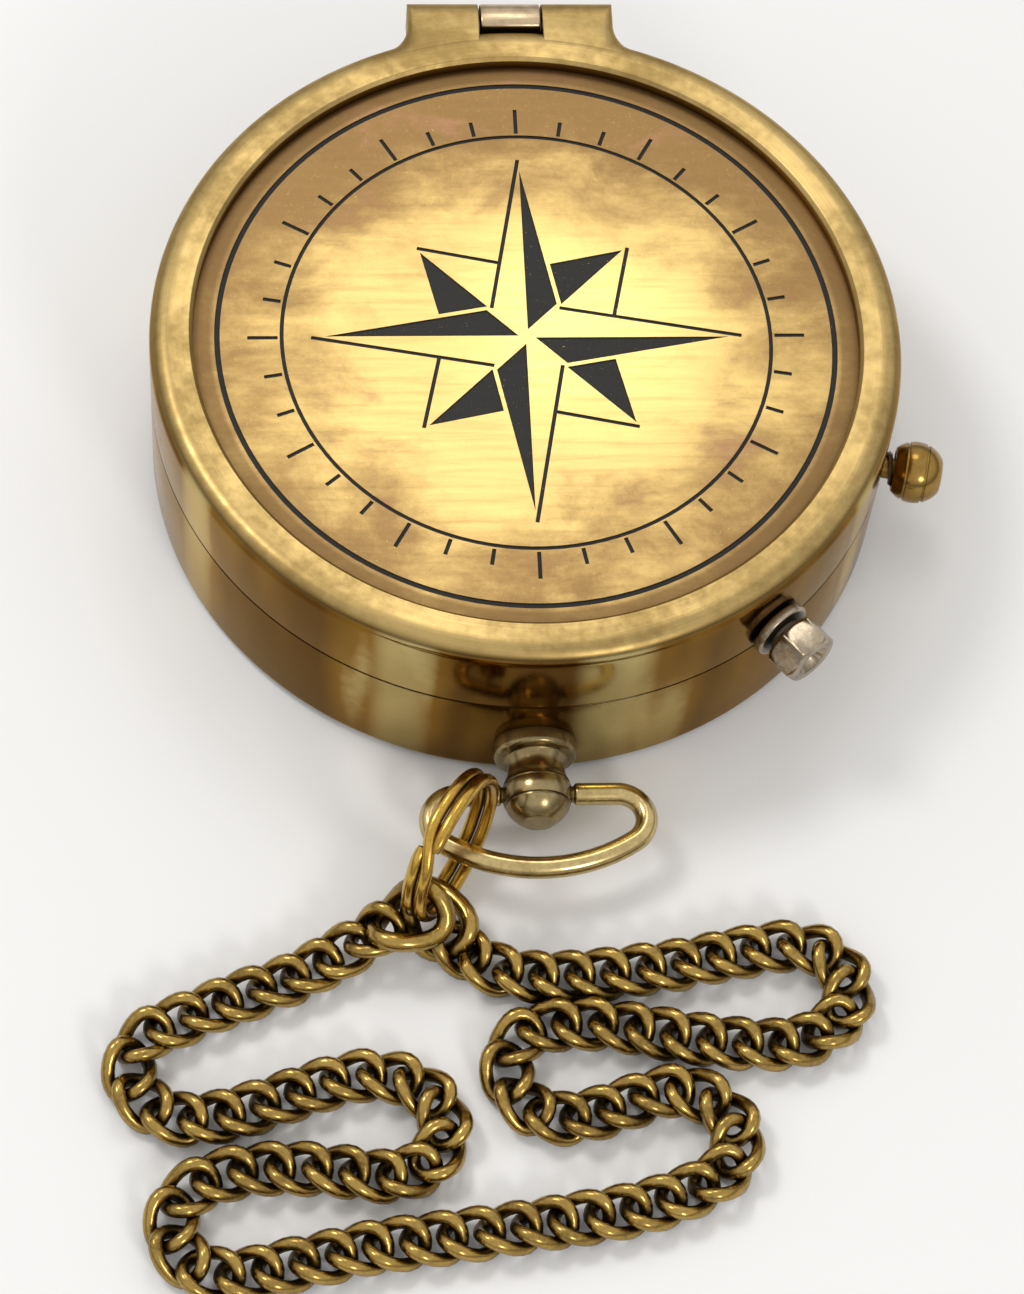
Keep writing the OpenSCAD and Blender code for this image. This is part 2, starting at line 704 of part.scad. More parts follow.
// A screw with a slotted head, standing on z = 0 with its shank below
module screw(shank) {
    difference() {
        union() {
            disc(screw_head_r, 0, screw_head_t);
            disc(screw_r, -shank, touch);
        }
        translate([-screw_head_r - over, -screw_r / 3, screw_head_t / 2])
            cube([2 * screw_head_r + 2 * over, 2 * screw_r / 3, screw_head_t]);
    }
}

module dial_screws() {
    color("silver") for (i = [0 : dial_screws_n - 1])
        rotate([0, 0, 90 + 360 * i / dial_screws_n])
            translate([dial_screw_at, 0, dial_z + dial_t + touch]) screw(screw_l);
}

module degree_ring() {
    color("silver") union() {
        tube(degree_r, degree_out, degree_z, degree_top);
        for (i = [0 : ring_teeth - 1])
            rotate([0, 0, adjust_az + 360 * (i + 1 / 2) / ring_teeth])
                translate([ring_tooth_in, -ring_tooth_w / 2, degree_top - touch])
                    cube([ring_tooth_out - ring_tooth_in, ring_tooth_w, ring_tooth_h + touch]);
    }
}

module bezel_ring() {
    color("goldenrod") difference() {
        union() {
            tube(bezel_step_r, bezel_out, bezel_z, bezel_top);
            tube(bezel_r, bezel_step_r + bezel_step_w, gasket_z - bezel_flange_t, gasket_z);
        }
        rotate([0, 0, adjust_az])
            translate([ring_tooth_in - seat_gap / 2, -bridge_room_r, bezel_z - over])
                cube([casing_r, 2 * bridge_room_r, bezel_t + 2 * over]);
    }
}

module glass_gasket() {
    color("dimgray") tube(bezel_r + seat_gap, glass_r, gasket_z + touch, gasket_z + gasket_t);
}

module glass() {
    color("lightblue", 0.4) disc(glass_r, gasket_z + gasket_t + touch, glass_top);
}

module pivot_post() {
    color("goldenrod") {
        disc(post_r, floor_t + touch, post_top);
        disc(post_foot_r, floor_t + touch, floor_t + post_foot_t);
    }
}

module pivot_point() {
    half = (pivot_tip_z - post_top) / 2;
    color("silver") translate([0, 0, post_top + touch]) {
        cylinder(r = pivot_r, h = half);
        translate([0, 0, half]) cylinder(r1 = pivot_r, r2 = pivot_end_r, h = half - touch);
    }
}

module needle_hub() {
    color("goldenrod") difference() {
        union() {
            disc(hub_r, hub_z, hub_z + hub_flange_t);
            disc(hub_neck_r, hub_z, hub_z + hub_h);
        }
        disc(hub_bore_r, hub_z - over, hub_z + hub_h - needle_t);
    }
}

module needle_jewel() {
    color("crimson")
        disc(hub_bore_r - touch, pivot_tip_z + touch, hub_z + hub_h - needle_t - touch);
}

module needle_blade() {
    color("steelblue") translate([0, 0, hub_z + hub_flange_t + touch]) linear_extrude(needle_t)
        difference() {
            polygon([[0, -needle_l / 2], [needle_half_w, 0], [0, needle_l / 2], [-needle_half_w, 0]]);
            circle(hub_neck_r + touch);
        }
}

module lift_collar() {
    color("silver") difference() {
        union() {
            disc(collar_flange_r, collar_z, collar_z + collar_flange_t);
            disc(collar_r, collar_z, collar_top);
        }
        disc(post_r + collar_fit, collar_z - over, collar_top + over);
    }
}

module brake_button() {
    line_r = sqrt(pow(ball_r, 2) - pow(ball_line_at, 2)) - line_d;
    color("goldenrod") radial(brake_az, brake_z) {
        difference() {
            translate([0, 0, ball_at]) sphere(ball_r);
            disc(2 * ball_r, ball_in - 2 * ball_r, ball_in);
            disc(2 * ball_r, ball_at + ball_r - ball_face_cut, ball_at + 3 * ball_r);
            disc(spring_room_r, ball_in - over, spring_room_out);
            for (side = [-1, 1]) translate([0, 0, ball_at + side * ball_line_at])
                tube(line_r, 2 * ball_r, -line_w / 2, line_w / 2);
        }
        disc(brake_stem_r, stem_end, spring_room_out + over);
        disc(brake_pin_r, stem_end - tab_t - nut_t, stem_end + touch);
    }
}

module brake_bar() {
    ramp = [[fork_in, bar_z], [fork_in, rail_z], [collar_flange_r, rail_z],
            [collar_flange_r + brake_travel, rail_z + lift],
            [collar_flange_r + 2 * brake_travel, rail_z + lift],
            [collar_flange_r + 4 * brake_travel, bar_z]];
    color("silver") rotate([0, 0, brake_az]) difference() {
        union() {
            translate([stem_end - tab_t, -bar_w / 2, bar_z])
                cube([tab_t - touch, bar_w, brake_z + nut_r - bar_z]);
            translate([fork_in, -bar_w / 2, bar_z])
                cube([stem_end - fork_in - tab_t / 2, bar_w, bar_t]);
            translate([0, bar_w / 2, 0]) rotate([90, 0, 0]) linear_extrude(bar_w) polygon(ramp);
        }
        translate([fork_in - over, -fork_w / 2, bar_z - over])
            cube([fork_out - fork_in + over, fork_w, brake_z]);
        translate([0, 0, brake_z]) rotate([0, 90, 0])
            disc(brake_pin_r + touch, stem_end - tab_t - over, stem_end + over);
    }
}

module brake_nut() {
    color("silver") radial(brake_az, brake_z) difference() {
        disc(nut_r, stem_end - tab_t - nut_t, stem_end - tab_t - touch);
        disc(brake_pin_r + touch, stem_end - tab_t - nut_t - over, stem_end);
    }
}

// Faces of a tube: rings of points, each with the given number of sides, and two ends
function tube_faces(rings, sides) = concat(
    [[for (k = [0 : sides - 1]) k]],
    [for (i = [0 : rings - 2]) for (k = [0 : sides - 1]) let (n = (k + 1) % sides)
        for (half = [[i * sides + k, i * sides + sides + k, i * sides + sides + n],
                     [i * sides + k, i * sides + sides + n, i * sides + n]]) half],
    [[for (k = [sides - 1 : -1 : 0]) (rings - 1) * sides + k]]);

// A coil spring as one unbroken tube with six sides
module brake_spring() {
    sides = 6;
    room = spring_room_out - brake_travel - casing_r - 2 * seam_gap;
    rise = (room - 2 * spring_wire_r) / spring_turns;
    points = [for (i = [0 : spring_turns * spring_steps]) for (k = [0 : sides - 1])
        let (a = 360 * i / spring_steps, b = 360 * k / sides, r = spring_r + spring_wire_r * cos(b))
        [r * cos(a), r * sin(a), rise * i / spring_steps + spring_wire_r * sin(b)]];
    echo(gap_between_turns = rise - 2 * spring_wire_r);
    color("silver") radial(brake_az, brake_z)
        translate([0, 0, casing_r + seam_gap + spring_wire_r])
            polyhedron(points, tube_faces(spring_turns * spring_steps + 1, sides));
}

module bar_guide() {
    inner_w = bar_w + 2 * guide_gap;
    outer_w = inner_w + 2 * bar_t;
    strap_z = bar_z + bar_t + guide_gap;
    color("goldenrod") rotate([0, 0, brake_az]) difference() {
        union() {
            translate([guide_at - guide_w / 2, -outer_w / 2, floor_t + touch])
                cube([guide_w, outer_w, strap_z + bar_t - floor_t - touch]);
            translate([guide_at - guide_w / 2, -outer_w / 2 - guide_foot, floor_t + touch])
                cube([guide_w, outer_w + 2 * guide_foot, bar_t]);
        }
        translate([guide_at - guide_w, -inner_w / 2, floor_t - over])
            cube([2 * guide_w, inner_w, strap_z - floor_t + over]);
        for (side = [-1, 1]) translate([guide_at, side * (outer_w + guide_foot) / 2, 0])
            disc(screw_r + touch, floor_t - over, bar_z + over);
    }
}

module guide_screws() {
    reach = (bar_w + 2 * guide_gap + 2 * bar_t + guide_foot) / 2;
    color("silver") rotate([0, 0, brake_az]) for (side = [-1, 1])
        translate([guide_at, side * reach, floor_t + bar_t + 2 * touch]) screw(bar_t);
}

module adjuster_bush() {
    color("gray") radial(adjust_az, adjust_z) difference() {
        union() {
            disc(bush_r, bush_in, bush_flange_in + touch);
            disc(bush_flange_r, bush_flange_in, bush_flange_in + bush_flange_t);
        }
        disc(adjust_stem_r + adjust_fit, bush_in - over, hex_at + over);
    }
}

module adjuster_knob() {
    corner_r = hex_af / sqrt(3);
    color("gray") radial(adjust_az, adjust_z) difference() {
        union() {
            disc(adjust_stem_r, bridge_in - touch, hex_at + touch);
            disc(hex_neck_r, hex_at, hex_in + touch);
            intersection() {
                hexagon(hex_af, hex_in, hex_out);
                rotate_extrude() polygon([[0, hex_in], [hex_af / 2, hex_in],
                    [corner_r + touch, hex_in + hex_chamfer], [corner_r + touch, hex_out - hex_chamfer],
                    [hex_af / 2, hex_out], [0, hex_out]]);
            }
        }
        translate([0, 0, hex_out - hex_dish_l])
            cylinder(r1 = hex_dish_r / 2, r2 = hex_dish_r, h = hex_dish_l);
        disc(hex_dish_r, hex_out - touch, hex_out + over);
    }
}

module adjuster_pinion() {
    color("goldenrod") radial(adjust_az, adjust_z) difference() {
        union() {
            disc(pinion_root_r, pinion_in, pinion_out);
            for (i = [0 : pinion_teeth - 1])
                rotate([0, 0, 360 * i / pinion_teeth])
                    translate([0, -pinion_tooth_w / 2, pinion_in])
                        cube([pinion_tip_r, pinion_tooth_w, pinion_out - pinion_in]);
        }
        disc(adjust_stem_r + touch, pinion_in - over, pinion_out + over);
    }
}

// A hood over the pinion that stands on the bezel and carries the stem's inner end
module adjuster_bridge() {
    color("goldenrod") rotate([0, 0, adjust_az]) difference() {
        translate([bridge_in, -bridge_half_w, bezel_top + touch])
            cube([pinion_out - bridge_in - touch, 2 * bridge_half_w, bridge_top - bezel_top - touch]);
        translate([0, 0, adjust_z]) rotate([0, 90, 0])
            disc(bridge_room_r, bridge_in + bridge_wall, casing_r);
        translate([bridge_in + bridge_wall, -bridge_room_r, bezel_top - over])
            cube([casing_r, 2 * bridge_room_r, adjust_z - bezel_top + over]);
        translate([0, 0, adjust_z]) rotate([0, 90, 0])
            disc(adjust_stem_r + adjust_fit, bridge_in - over, casing_r);
    }
}

module pendant() {
    line_r = sqrt(pow(pendant_ball_r, 2) - pow(pendant_line_at, 2)) - line_d;
    color("gray") radial(-90, pendant_z) difference() {
        union() {
            difference() {
                disc(pendant_collar_r, casing_r - over, casing_r + pendant_collar_t);
                rotate([0, 90, 0])
                    cylinder(r = casing_r + touch, h = 3 * pendant_collar_r, center = true);
            }
            disc(pendant_neck_r, casing_r + pendant_collar_t / 2, -pendant_y);
            translate([0, 0, -pendant_y]) sphere(pendant_ball_r);
            disc(pendant_tang_r, pendant_tang_in, casing_r + over);
        }
        disc(2 * pendant_ball_r, pendant_ball_r - pendant_face_cut - pendant_y, 2 * casing_r);
        translate([0, 0, -pendant_y]) rotate([90, 0, 0])
            cylinder(r = bow_pin_r + bow_fit, h = 3 * pendant_ball_r, center = true);
        for (side = [-1, 1]) translate([0, 0, side * pendant_line_at - pendant_y])
            tube(line_r, 2 * pendant_ball_r, -line_w / 2, line_w / 2);
    }
}

module pendant_nut() {
    out = base_inner_r - 2 * seat_gap;
    color("goldenrod") radial(-90, pendant_z) difference() {
        hexagon(pendant_nut_af, out - pendant_nut_t, out);
        disc(pendant_tang_r + touch, pendant_tang_in - over, base_inner_r);
    }
}

// The bow's right half from pin to front: place, heading and radius of its wire
bow_side = concat(
    [[bow_pin_in, 0, 0, bow_pin_r], [bow_shoulder, 0, 0, bow_pin_r],
     [bow_shoulder, 0, 0, bow_wire_r]],
    [for (i = [0 : bow_steps]) let (t = bow_turn * i / bow_steps)
        [bow_x0 + bow_corner_r * sin(t), bow_corner_r * (cos(t) - 1), -t, bow_wire_r]],
    [for (i = [bow_steps - 1 : -1 : 0]) let (t = (180 - bow_turn) * i / bow_steps)
        [bow_front_r * sin(t), bow_front_y - bow_front_r * cos(t), t - 180, bow_wire_r]]);
bow_wire = concat(bow_side,
    [for (i = [len(bow_side) - 2 : -1 : 0]) let (q = bow_side[i]) [-q[0], q[1], -q[2], q[3]]]);

// The bow as one unbroken tube from pin to pin
module bow() {
    points = [for (q = bow_wire) for (k = [0 : bow_sides - 1])
        let (b = 360 * k / bow_sides, r = q[3] * cos(b))
        [q[0] + r * sin(q[2]), q[1] - r * cos(q[2]), q[3] * sin(b)]];
    color("gray") translate([0, pendant_y, pendant_z])
        polyhedron(points, tube_faces(len(bow_wire), bow_sides));
}

// Side of the split ring's wire at a share u of its length, from -1 to 1
function ring_side(u) = max(-1, min(1, 2 * (u - 1 / 2) / ring_step_share));

// The split ring as one unbroken tube with eight sides
module split_ring() {
    sides = 8;
    points = [for (i = [0 : ring_steps]) for (k = [0 : sides - 1])
        let (a = 720 * i / ring_steps, b = 360 * k / sides, r = ring_r + ring_wire_r * cos(b))
        [r * cos(a), r * sin(a), ring_half * ring_side(i / ring_steps) + ring_wire_r * sin(b)]];
    color("gold") translate(ring_at) rotate(ring_turn) rotate([0, 0, ring_start])
        polyhedron(points, tube_faces(ring_steps + 1, sides));
}

// A link on the route at distance s, rolled to one side or the other
module chain_link(s, roll, r, wire_r) {
    p = at(s);
    x = unit(at(min(s + spacing / 2, chain_l)) - at(max(s - spacing / 2, 0)));
    y = unit(cross([0, 0, 1], x));
    z = cross(x, y);
    multmatrix([[x.x, y.x, z.x, p.x], [x.y, y.y, z.y, p.y], [x.z, y.z, z.z, p.z], [0, 0, 0, 1]])
        rotate([roll, 0, 0]) rotate_extrude() translate([r, 0]) circle(wire_r);
}

module end_links() {
    color("tan") {
        chain_link(0, end_rolls[0], end_link_r, end_wire_r);
        chain_link(chain_l, end_rolls[1], end_link_r, end_wire_r);
    }
}

module chain_part(part) {
    first = floor((links + 1) * part / chain_parts);
    end = floor((links + 1) * (part + 1) / chain_parts) - 1;
    color("tan") for (i = [first : end])
        chain_link(end_space + i * spacing, i % 2 == 0 ? link_roll : -link_roll, link_r, link_wire_r);
}

module chain_a() { chain_part(0); }
module chain_b() { chain_part(1); }
module chain_c() { chain_part(2); }
module chain_d() { chain_part(3); }

base_casing();
hinge_knuckle();
hinge_rivets();
hinge_pin();
lid_ring();
lid_plate();
lid_snap_ring();
dial_seat();
dial_plate();
dial_screws();
degree_ring();
bezel_ring();
glass_gasket();
glass();
pivot_post();
pivot_point();
needle_blade();
needle_hub();
needle_jewel();
lift_collar();
brake_button();
brake_bar();
brake_nut();
brake_spring();
bar_guide();
guide_screws();
adjuster_bush();
adjuster_knob();
adjuster_pinion();
adjuster_bridge();
pendant();
pendant_nut();
bow();
split_ring();
end_links();
chain_a();
chain_b();
chain_c();
chain_d();
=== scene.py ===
import json
import math

import bmesh
import bpy
from bpy.props import FloatProperty, FloatVectorProperty, IntProperty, PointerProperty
from mathutils import Matrix, Vector

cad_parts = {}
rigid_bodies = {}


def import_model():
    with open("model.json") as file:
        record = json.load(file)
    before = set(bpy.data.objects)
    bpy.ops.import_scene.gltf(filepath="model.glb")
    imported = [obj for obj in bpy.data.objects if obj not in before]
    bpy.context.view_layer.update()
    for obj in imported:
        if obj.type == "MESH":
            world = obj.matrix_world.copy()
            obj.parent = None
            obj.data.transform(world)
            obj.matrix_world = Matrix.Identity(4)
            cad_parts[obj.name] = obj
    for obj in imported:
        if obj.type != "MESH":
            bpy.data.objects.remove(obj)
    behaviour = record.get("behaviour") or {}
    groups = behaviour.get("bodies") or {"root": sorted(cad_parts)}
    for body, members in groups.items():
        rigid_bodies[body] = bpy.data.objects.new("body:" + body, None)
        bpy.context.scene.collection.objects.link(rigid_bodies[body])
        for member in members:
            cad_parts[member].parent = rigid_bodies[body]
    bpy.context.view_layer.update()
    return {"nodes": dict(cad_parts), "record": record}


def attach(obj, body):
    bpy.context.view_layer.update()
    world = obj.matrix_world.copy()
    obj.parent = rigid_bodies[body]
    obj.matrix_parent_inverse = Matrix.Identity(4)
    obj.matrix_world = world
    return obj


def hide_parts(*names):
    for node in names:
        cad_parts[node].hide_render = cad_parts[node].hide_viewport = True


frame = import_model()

bl_info = {
    "name": "Pocket Compass",
    "version": (1, 0, 0),
    "blender": (4, 5, 0),
    "location": "View3D > Sidebar > Compass",
    "description": "Models and finishes a hinged pocket compass with its chain",
    "category": "Object",
}

MM = 0.001

# The compass in millimetres and degrees, as in the part's source
CASING_R, BASE_H, LID_Z, LID_TOP = 37.5, 13.2, 13.3, 23.0
INNER_R, LID_INNER_R, LID_LEDGE_Z = 34.5, 35.5, 21.5
PLATE_R, PLATE_Z = 31.3, 21.33
HINGE_Y, HINGE_Z, HINGE_R, HINGE_W, KNUCKLE_W = 39.1, 20.4, 2.5, 21.4, 6.2
LUG_X = KNUCKLE_W / 2 + 0.2
BRAKE_AZ, BRAKE_Z, BALL_AT = -11.2, 8.0, 41.0
ADJUST_AZ, ADJUST_Z = -51.3, 14.7
PENDANT_Y, PENDANT_Z = -42.9, 5.3
RING_AT, RING_TILT, RING_AZ, RING_START = (-8.99, -50.33, 9.59), 86.4, -31.1, 215.0

# The middle line of the chain's solids: down from the split ring, round at the height FLAT, and up again
FLAT = 2.3
LYING = [
    (-24, -60.5), (-29.5, -62.6), (-34.5, -64.6), (-38.6, -66.8), (-39.8, -70.2), (-37.8, -73.6),
    (-34, -74.9), (-28.5, -74), (-22.5, -72), (-17.5, -70.8), (-12.8, -71.8), (-10.2, -75.2),
    (-11.2, -79.2), (-15, -81), (-20, -80.4), (-26, -80), (-31, -80.6), (-34.9, -82.7), (-35.9, -86.4),
    (-33.6, -89.7), (-29.4, -90.4), (-23, -89.2), (-17, -88), (-11, -87.3), (-5, -86.6), (1, -85.8),
    (7, -84.9), (12.2, -83.4), (16.4, -81), (17.6, -77.3), (15.4, -74), (11.3, -73), (6, -74.6),
    (1.5, -75.6), (-2.5, -73.9), (-4, -70.2), (-2, -66.7), (2.6, -65.9), (7.5, -66.3), (13, -67.4),
    (18.5, -68.2), (24, -68.2), (28.2, -66), (29.6, -62.3), (27.4, -58.9), (23.2, -58.1), (17.5, -59),
    (12, -60), (6.5, -60.6), (1, -60.9), (-4, -60.2),
]
ROUTE = [(-12.55, -55.88, 5.76), (-16.1, -56.7, 4.2), (-19.6, -58.3, 2.7),
         *((x, y, FLAT) for x, y in LYING), (-8.1, -57.7, 2.5), (-10.6, -54.74, 3.72)]


def length(default, name, about):
    """A size in metres, given here in millimetres."""
    return FloatProperty(name=name, description=about, default=default * MM, min=0.0,
                         precision=5, subtype="DISTANCE", unit="LENGTH")


def tint(default, name, about):
    """A colour given as it looks on a screen, kept as linear light."""
    linear = [((c / 255 + 0.055) / 1.055) ** 2.4 if c > 10 else c / 255 / 12.92 for c in default]
    return FloatVectorProperty(name=name, description=about, default=linear, size=3,
                               min=0.0, max=1.0, subtype="COLOR")


class CompassSizes(bpy.types.PropertyGroup):
    """Sizes of the casing's edges and of the finer parts."""
    base_round: length(1.3, "Base round", "Round of the base's lower edge")
    lid_round: length(1.9, "Lid round", "Round of the lid's outer top edge")
    rim_width: length(4.3, "Rim width", "Width of the lid's top rim")
    rim_dome: length(0.07, "Rim dome", "How far the rim's top falls towards its inner edge")
    rim_bevel: length(0.35, "Rim bevel", "Small bevel along the rim's inner edge")
    edge: length(0.14, "Edge", "Round on the machined edges")
    bow_wire: length(1.1, "Bow wire", "Radius of the bow's wire")
    ring_radius: length(7.2, "Split ring radius", "To the middle of its wire")
    ring_wire: length(0.62, "Split ring wire", "Radius of the split ring's wire")
    ball: length(3.15, "Button ball", "Radius of the brake button's ball")
    hex_flats: length(5.5, "Knob flats", "Width of the adjuster's head across its flats")


class ChainSizes(bpy.types.PropertyGroup):
    """Sizes of the curb chain."""
    pitch: length(3.5, "Pitch", "Distance from link to link")
    half_length: length(2.66, "Half length", "Of a link, to the middle of its wire")
    half_width: length(2.02, "Half width", "Of a link, to the middle of its wire")
    twist: length(0.98, "Twist", "Height of a link's twist")
    wire: length(0.68, "Wire", "Radius of the chain's wire")
    end_scale: FloatProperty(name="End link scale", default=1.36, min=1.0, max=1.6,
                             description="Size of the two end links against the others")
    seed: IntProperty(name="Seed", description="Seed of the small turns of the links", default=4, min=0)


class CompassColours(bpy.types.PropertyGroup):
    """Colours of the finishes."""
    gold: tint((186, 160, 104), "Rim brass", "Polished brass of the lid's rim and walls")
    # Also gives the painted shade on the rim's round shoulder
    gold_worn: tint((116, 92, 48), "Rim patina", "Aged brass on the rim and walls")
    # Painted dark reflection: the walls' brass is set darker than the rim's, standing for the dark
    # surroundings that they mirror
    wall: tint((134, 98, 36), "Wall brass", "Darker brass of the casing's walls")
    # Painted reflection: the pale colour of the bands and streaks of sheen on the walls
    wall_bright: tint((206, 190, 132), "Wall sheen", "Pale sheen in broad bands on the casing's walls")
    # Painted shade and dark reflections on the walls and the rim, and the dark seam
    wall_worn: tint((72, 42, 10), "Wall patina", "Brown streaks on the casing's walls")
    plate: tint((204, 174, 110), "Plate brass", "Brushed brass of the lid plate")
    # Pale grain and scratches, and the painted highlight in the plate's middle
    plate_glow: tint((232, 211, 132), "Plate centre", "Paler middle of the lid plate")
    plate_worn: tint((134, 104, 66), "Plate patina", "Brownish bloom near the plate's edge")
    plate_rosy: tint((170, 126, 98), "Plate bloom", "Pinkish bloom in patches of the plate's outer part")
    etch: tint((26, 25, 22), "Etching", "Black of the etched lines")
    bronze: tint((162, 144, 104), "Bronze", "Greyish fittings: pendant, bow, adjuster")
    bronze_worn: tint((84, 70, 42), "Bronze patina", "Aged parts of the fittings")
    bow: tint((204, 182, 128), "Bow", "Pale brass of the bow")
    bow_worn: tint((122, 100, 58), "Bow patina", "Aged parts of the bow")
    pewter: tint((176, 162, 140), "Adjuster", "Greyish metal of the adjuster's knob and bush")
    pewter_worn: tint((86, 72, 56), "Adjuster patina", "Aged parts of the adjuster")
    copper: tint((214, 190, 156), "Knuckle", "Pinkish middle of the hinge")
    yellow: tint((214, 176, 84), "Yellow brass", "Split ring, button and inner parts")
    yellow_worn: tint((128, 90, 34), "Yellow patina", "Aged parts of the yellow brass")
    knob: tint((162, 134, 74), "Button brass", "Brass of the brake button")
    chain: tint((174, 144, 78), "Chain brass", "Antique brass of the chain")
    # Worn colour of the chain; a darker tone of it is the painted shade in the chain's recesses
    chain_dark: tint((64, 42, 16), "Chain recess", "Dark brass in the chain's recesses")
    steel: tint((176, 176, 172), "Steel", "Pins, screws and springs")
    enamel: tint((236, 231, 214), "Dial", "Enamel of the dial plate")
    floor: tint((250, 250, 250), "Floor", "Pale floor")


def sizes():
    """The sizes of the casing and the finer parts."""
    return bpy.context.scene.compass_sizes


def chain_sizes():
    """The sizes of the chain."""
    return bpy.context.scene.compass_chain


def colours():
    """The colours of the finishes."""
    return bpy.context.scene.compass_colours


class Wire:
    """A number on a shader socket, so that sums can be written as Python expressions."""

    def __init__(self, finish, socket):
        self.finish, self.socket = finish, socket

    def _do(self, operation, first, second):
        return self.finish.number("ShaderNodeMath", {"operation": operation}, {0: first, 1: second})

    def __add__(self, other):
        return self._do("ADD", self, other)

    def __radd__(self, other):
        return self._do("ADD", other, self)

    def __sub__(self, other):
        return self._do("SUBTRACT", self, other)

    def __rsub__(self, other):
        return self._do("SUBTRACT", other, self)

    def __mul__(self, other):
        return self._do("MULTIPLY", self, other)

    def __rmul__(self, other):
        return self._do("MULTIPLY", other, self)

    def __truediv__(self, other):
        return self._do("DIVIDE", self, other)

    def do(self, operation, other=0.0):
        return self._do(operation, self, other)


class Finish:
    """Shader nodes under construction: a new material's, or those of a tree that is there already."""

    def __init__(self, name, tree=None):
        self.tree = tree
        if tree is None:
            self.material = bpy.data.materials.new(name)
            self.material.use_nodes = True
            self.tree = self.material.node_tree
            self.shader = self.tree.nodes["Principled BSDF"]

    def node(self, kind, settings=None, values=None):
        """Any node: its settings first, then the values or links of its sockets."""
        made = self.tree.nodes.new(kind)
        for key, value in (settings or {}).items():
            setattr(made, key, value)
        for key, value in (values or {}).items():
            self.feed(made.inputs[key], value)
        return made

    def feed(self, socket, value):
        if isinstance(value, Wire):
            value = value.socket
        if isinstance(value, bpy.types.NodeSocket):
            self.tree.links.new(value, socket)
        elif socket.type == "RGBA" and len(value) == 3:
            socket.default_value = (*value, 1.0)
        else:
            socket.default_value = value

    def number(self, kind, settings=None, values=None, output=0):
        return Wire(self, self.node(kind, settings, values).outputs[output])

    def place(self):
        """Object coordinates in millimetres: the vector, and its three parts."""
        point = self.node("ShaderNodeTexCoord").outputs["Object"]
        scaled = self.node("ShaderNodeVectorMath", {"operation": "SCALE"}, {0: point, "Scale": 1 / MM})
        vector = scaled.outputs[0]
        parts = self.node("ShaderNodeSeparateXYZ", None, {0: vector}).outputs
        return vector, *(Wire(self, part) for part in parts)

    def vector(self, x, y, z):
        return self.node("ShaderNodeCombineXYZ", None, {0: x, 1: y, 2: z}).outputs[0]

    def noise(self, vector, scale, detail=3.0, rough=0.5, distortion=0.0):
        return self.number("ShaderNodeTexNoise", None, {"Vector": vector, "Scale": scale, "Detail": detail,
                                                        "Roughness": rough, "Distortion": distortion})

    def between(self, value, low, high, to_low=0.0, to_high=1.0):
        """Value turned from low..high to to_low..to_high with soft ends."""
        return self.number("ShaderNodeMapRange", {"interpolation_type": "SMOOTHSTEP"},
                           {"Value": value, "From Min": low, "From Max": high,
                            "To Min": to_low, "To Max": to_high})

    def mix(self, factor, first, second):
        made = self.node("ShaderNodeMix", {"data_type": "RGBA"})
        self.feed(made.inputs[0], factor)
        self.feed(made.inputs[6], first)
        self.feed(made.inputs[7], second)
        return made.outputs[2]

    def hollow(self, reach, samples=6):
        """0 in the open, towards 1 in narrow places; reach in millimetres."""
        return 1.0 - self.number("ShaderNodeAmbientOcclusion", {"samples": samples},
                                 {"Distance": reach * MM}, output="AO")

    def bump(self, height, strength, depth):
        return self.node("ShaderNodeBump", None, {"Height": height, "Strength": strength,
                                                  "Distance": depth * MM}).outputs[0]

    def done(self, **inputs):
        for key, value in inputs.items():
            self.feed(self.shader.inputs[key.replace("_", " ")], value)
        return self.material


def from_axis(x, y):
    """Distance from an upright axis."""
    return (x * x + y * y).do("SQRT")


def shade(colour, share):
    """A darker tone of a colour."""
    return [v * share for v in colour]


def graduation(angle, radius, count):
    """Lines at even steps all round: the number of the nearest one, and how far away it is."""
    turn = (angle / (2 * math.pi) + 1.0) * count + 0.5
    near = ((turn.do("FRACT") - 0.5).do("ABSOLUTE") / count) * radius * 2 * math.pi
    return turn.do("FLOOR"), near


def aged_metal(name, bright, worn, rough, grain, reach, brushed=None, cloud=0.06, shade_and_grime=0.85,
               wear=(0.35, 0.75)):
    """Aged metal: clouds of patina, hollows darkened with painted shade and grime, fine scratches and an
    uneven polish.
    """
    f = Finish(name)
    vector, x, y, z = f.place()
    clouds = f.noise(vector, cloud, 5.0, 0.6, 0.4)
    spots = f.noise(vector, cloud * 14, 4.0, 0.65)
    patina = f.between(clouds * 0.7 + spots * 0.3, *wear)
    recess = f.between(f.hollow(reach), 0.12, 0.72)
    if brushed == "round":
        grained = f.vector(from_axis(x, y) * 9.0, z * 9.0, x.do("ARCTAN2", y) * 2.0)
    elif brushed == "across":
        grained = f.vector(x * 0.25, y * 7.0, z * 7.0)
    else:
        grained = f.vector(x * 2.2, y * 2.2, z * 2.2)
    scratch = f.noise(grained, 1.0, 4.0, 0.7)
    colour = f.mix(patina * 0.8, bright, worn)
    colour = f.mix(f.between(scratch, 0.35, 0.75) * 0.22, colour, worn)
    # Painted shade with grime: the hollows darken towards a deep tone of the worn colour
    colour = f.mix(recess * shade_and_grime, colour, shade(worn, 0.28))
    low, high = rough
    shine = low + (high - low) * (patina * 0.6 + scratch * 0.5) + recess * 0.2
    return f.done(Base_Color=colour, Metallic=1.0, Roughness=shine.do("MINIMUM", 0.9),
                  Normal=f.bump(scratch * 0.6 + spots * 0.4, grain, 0.02))


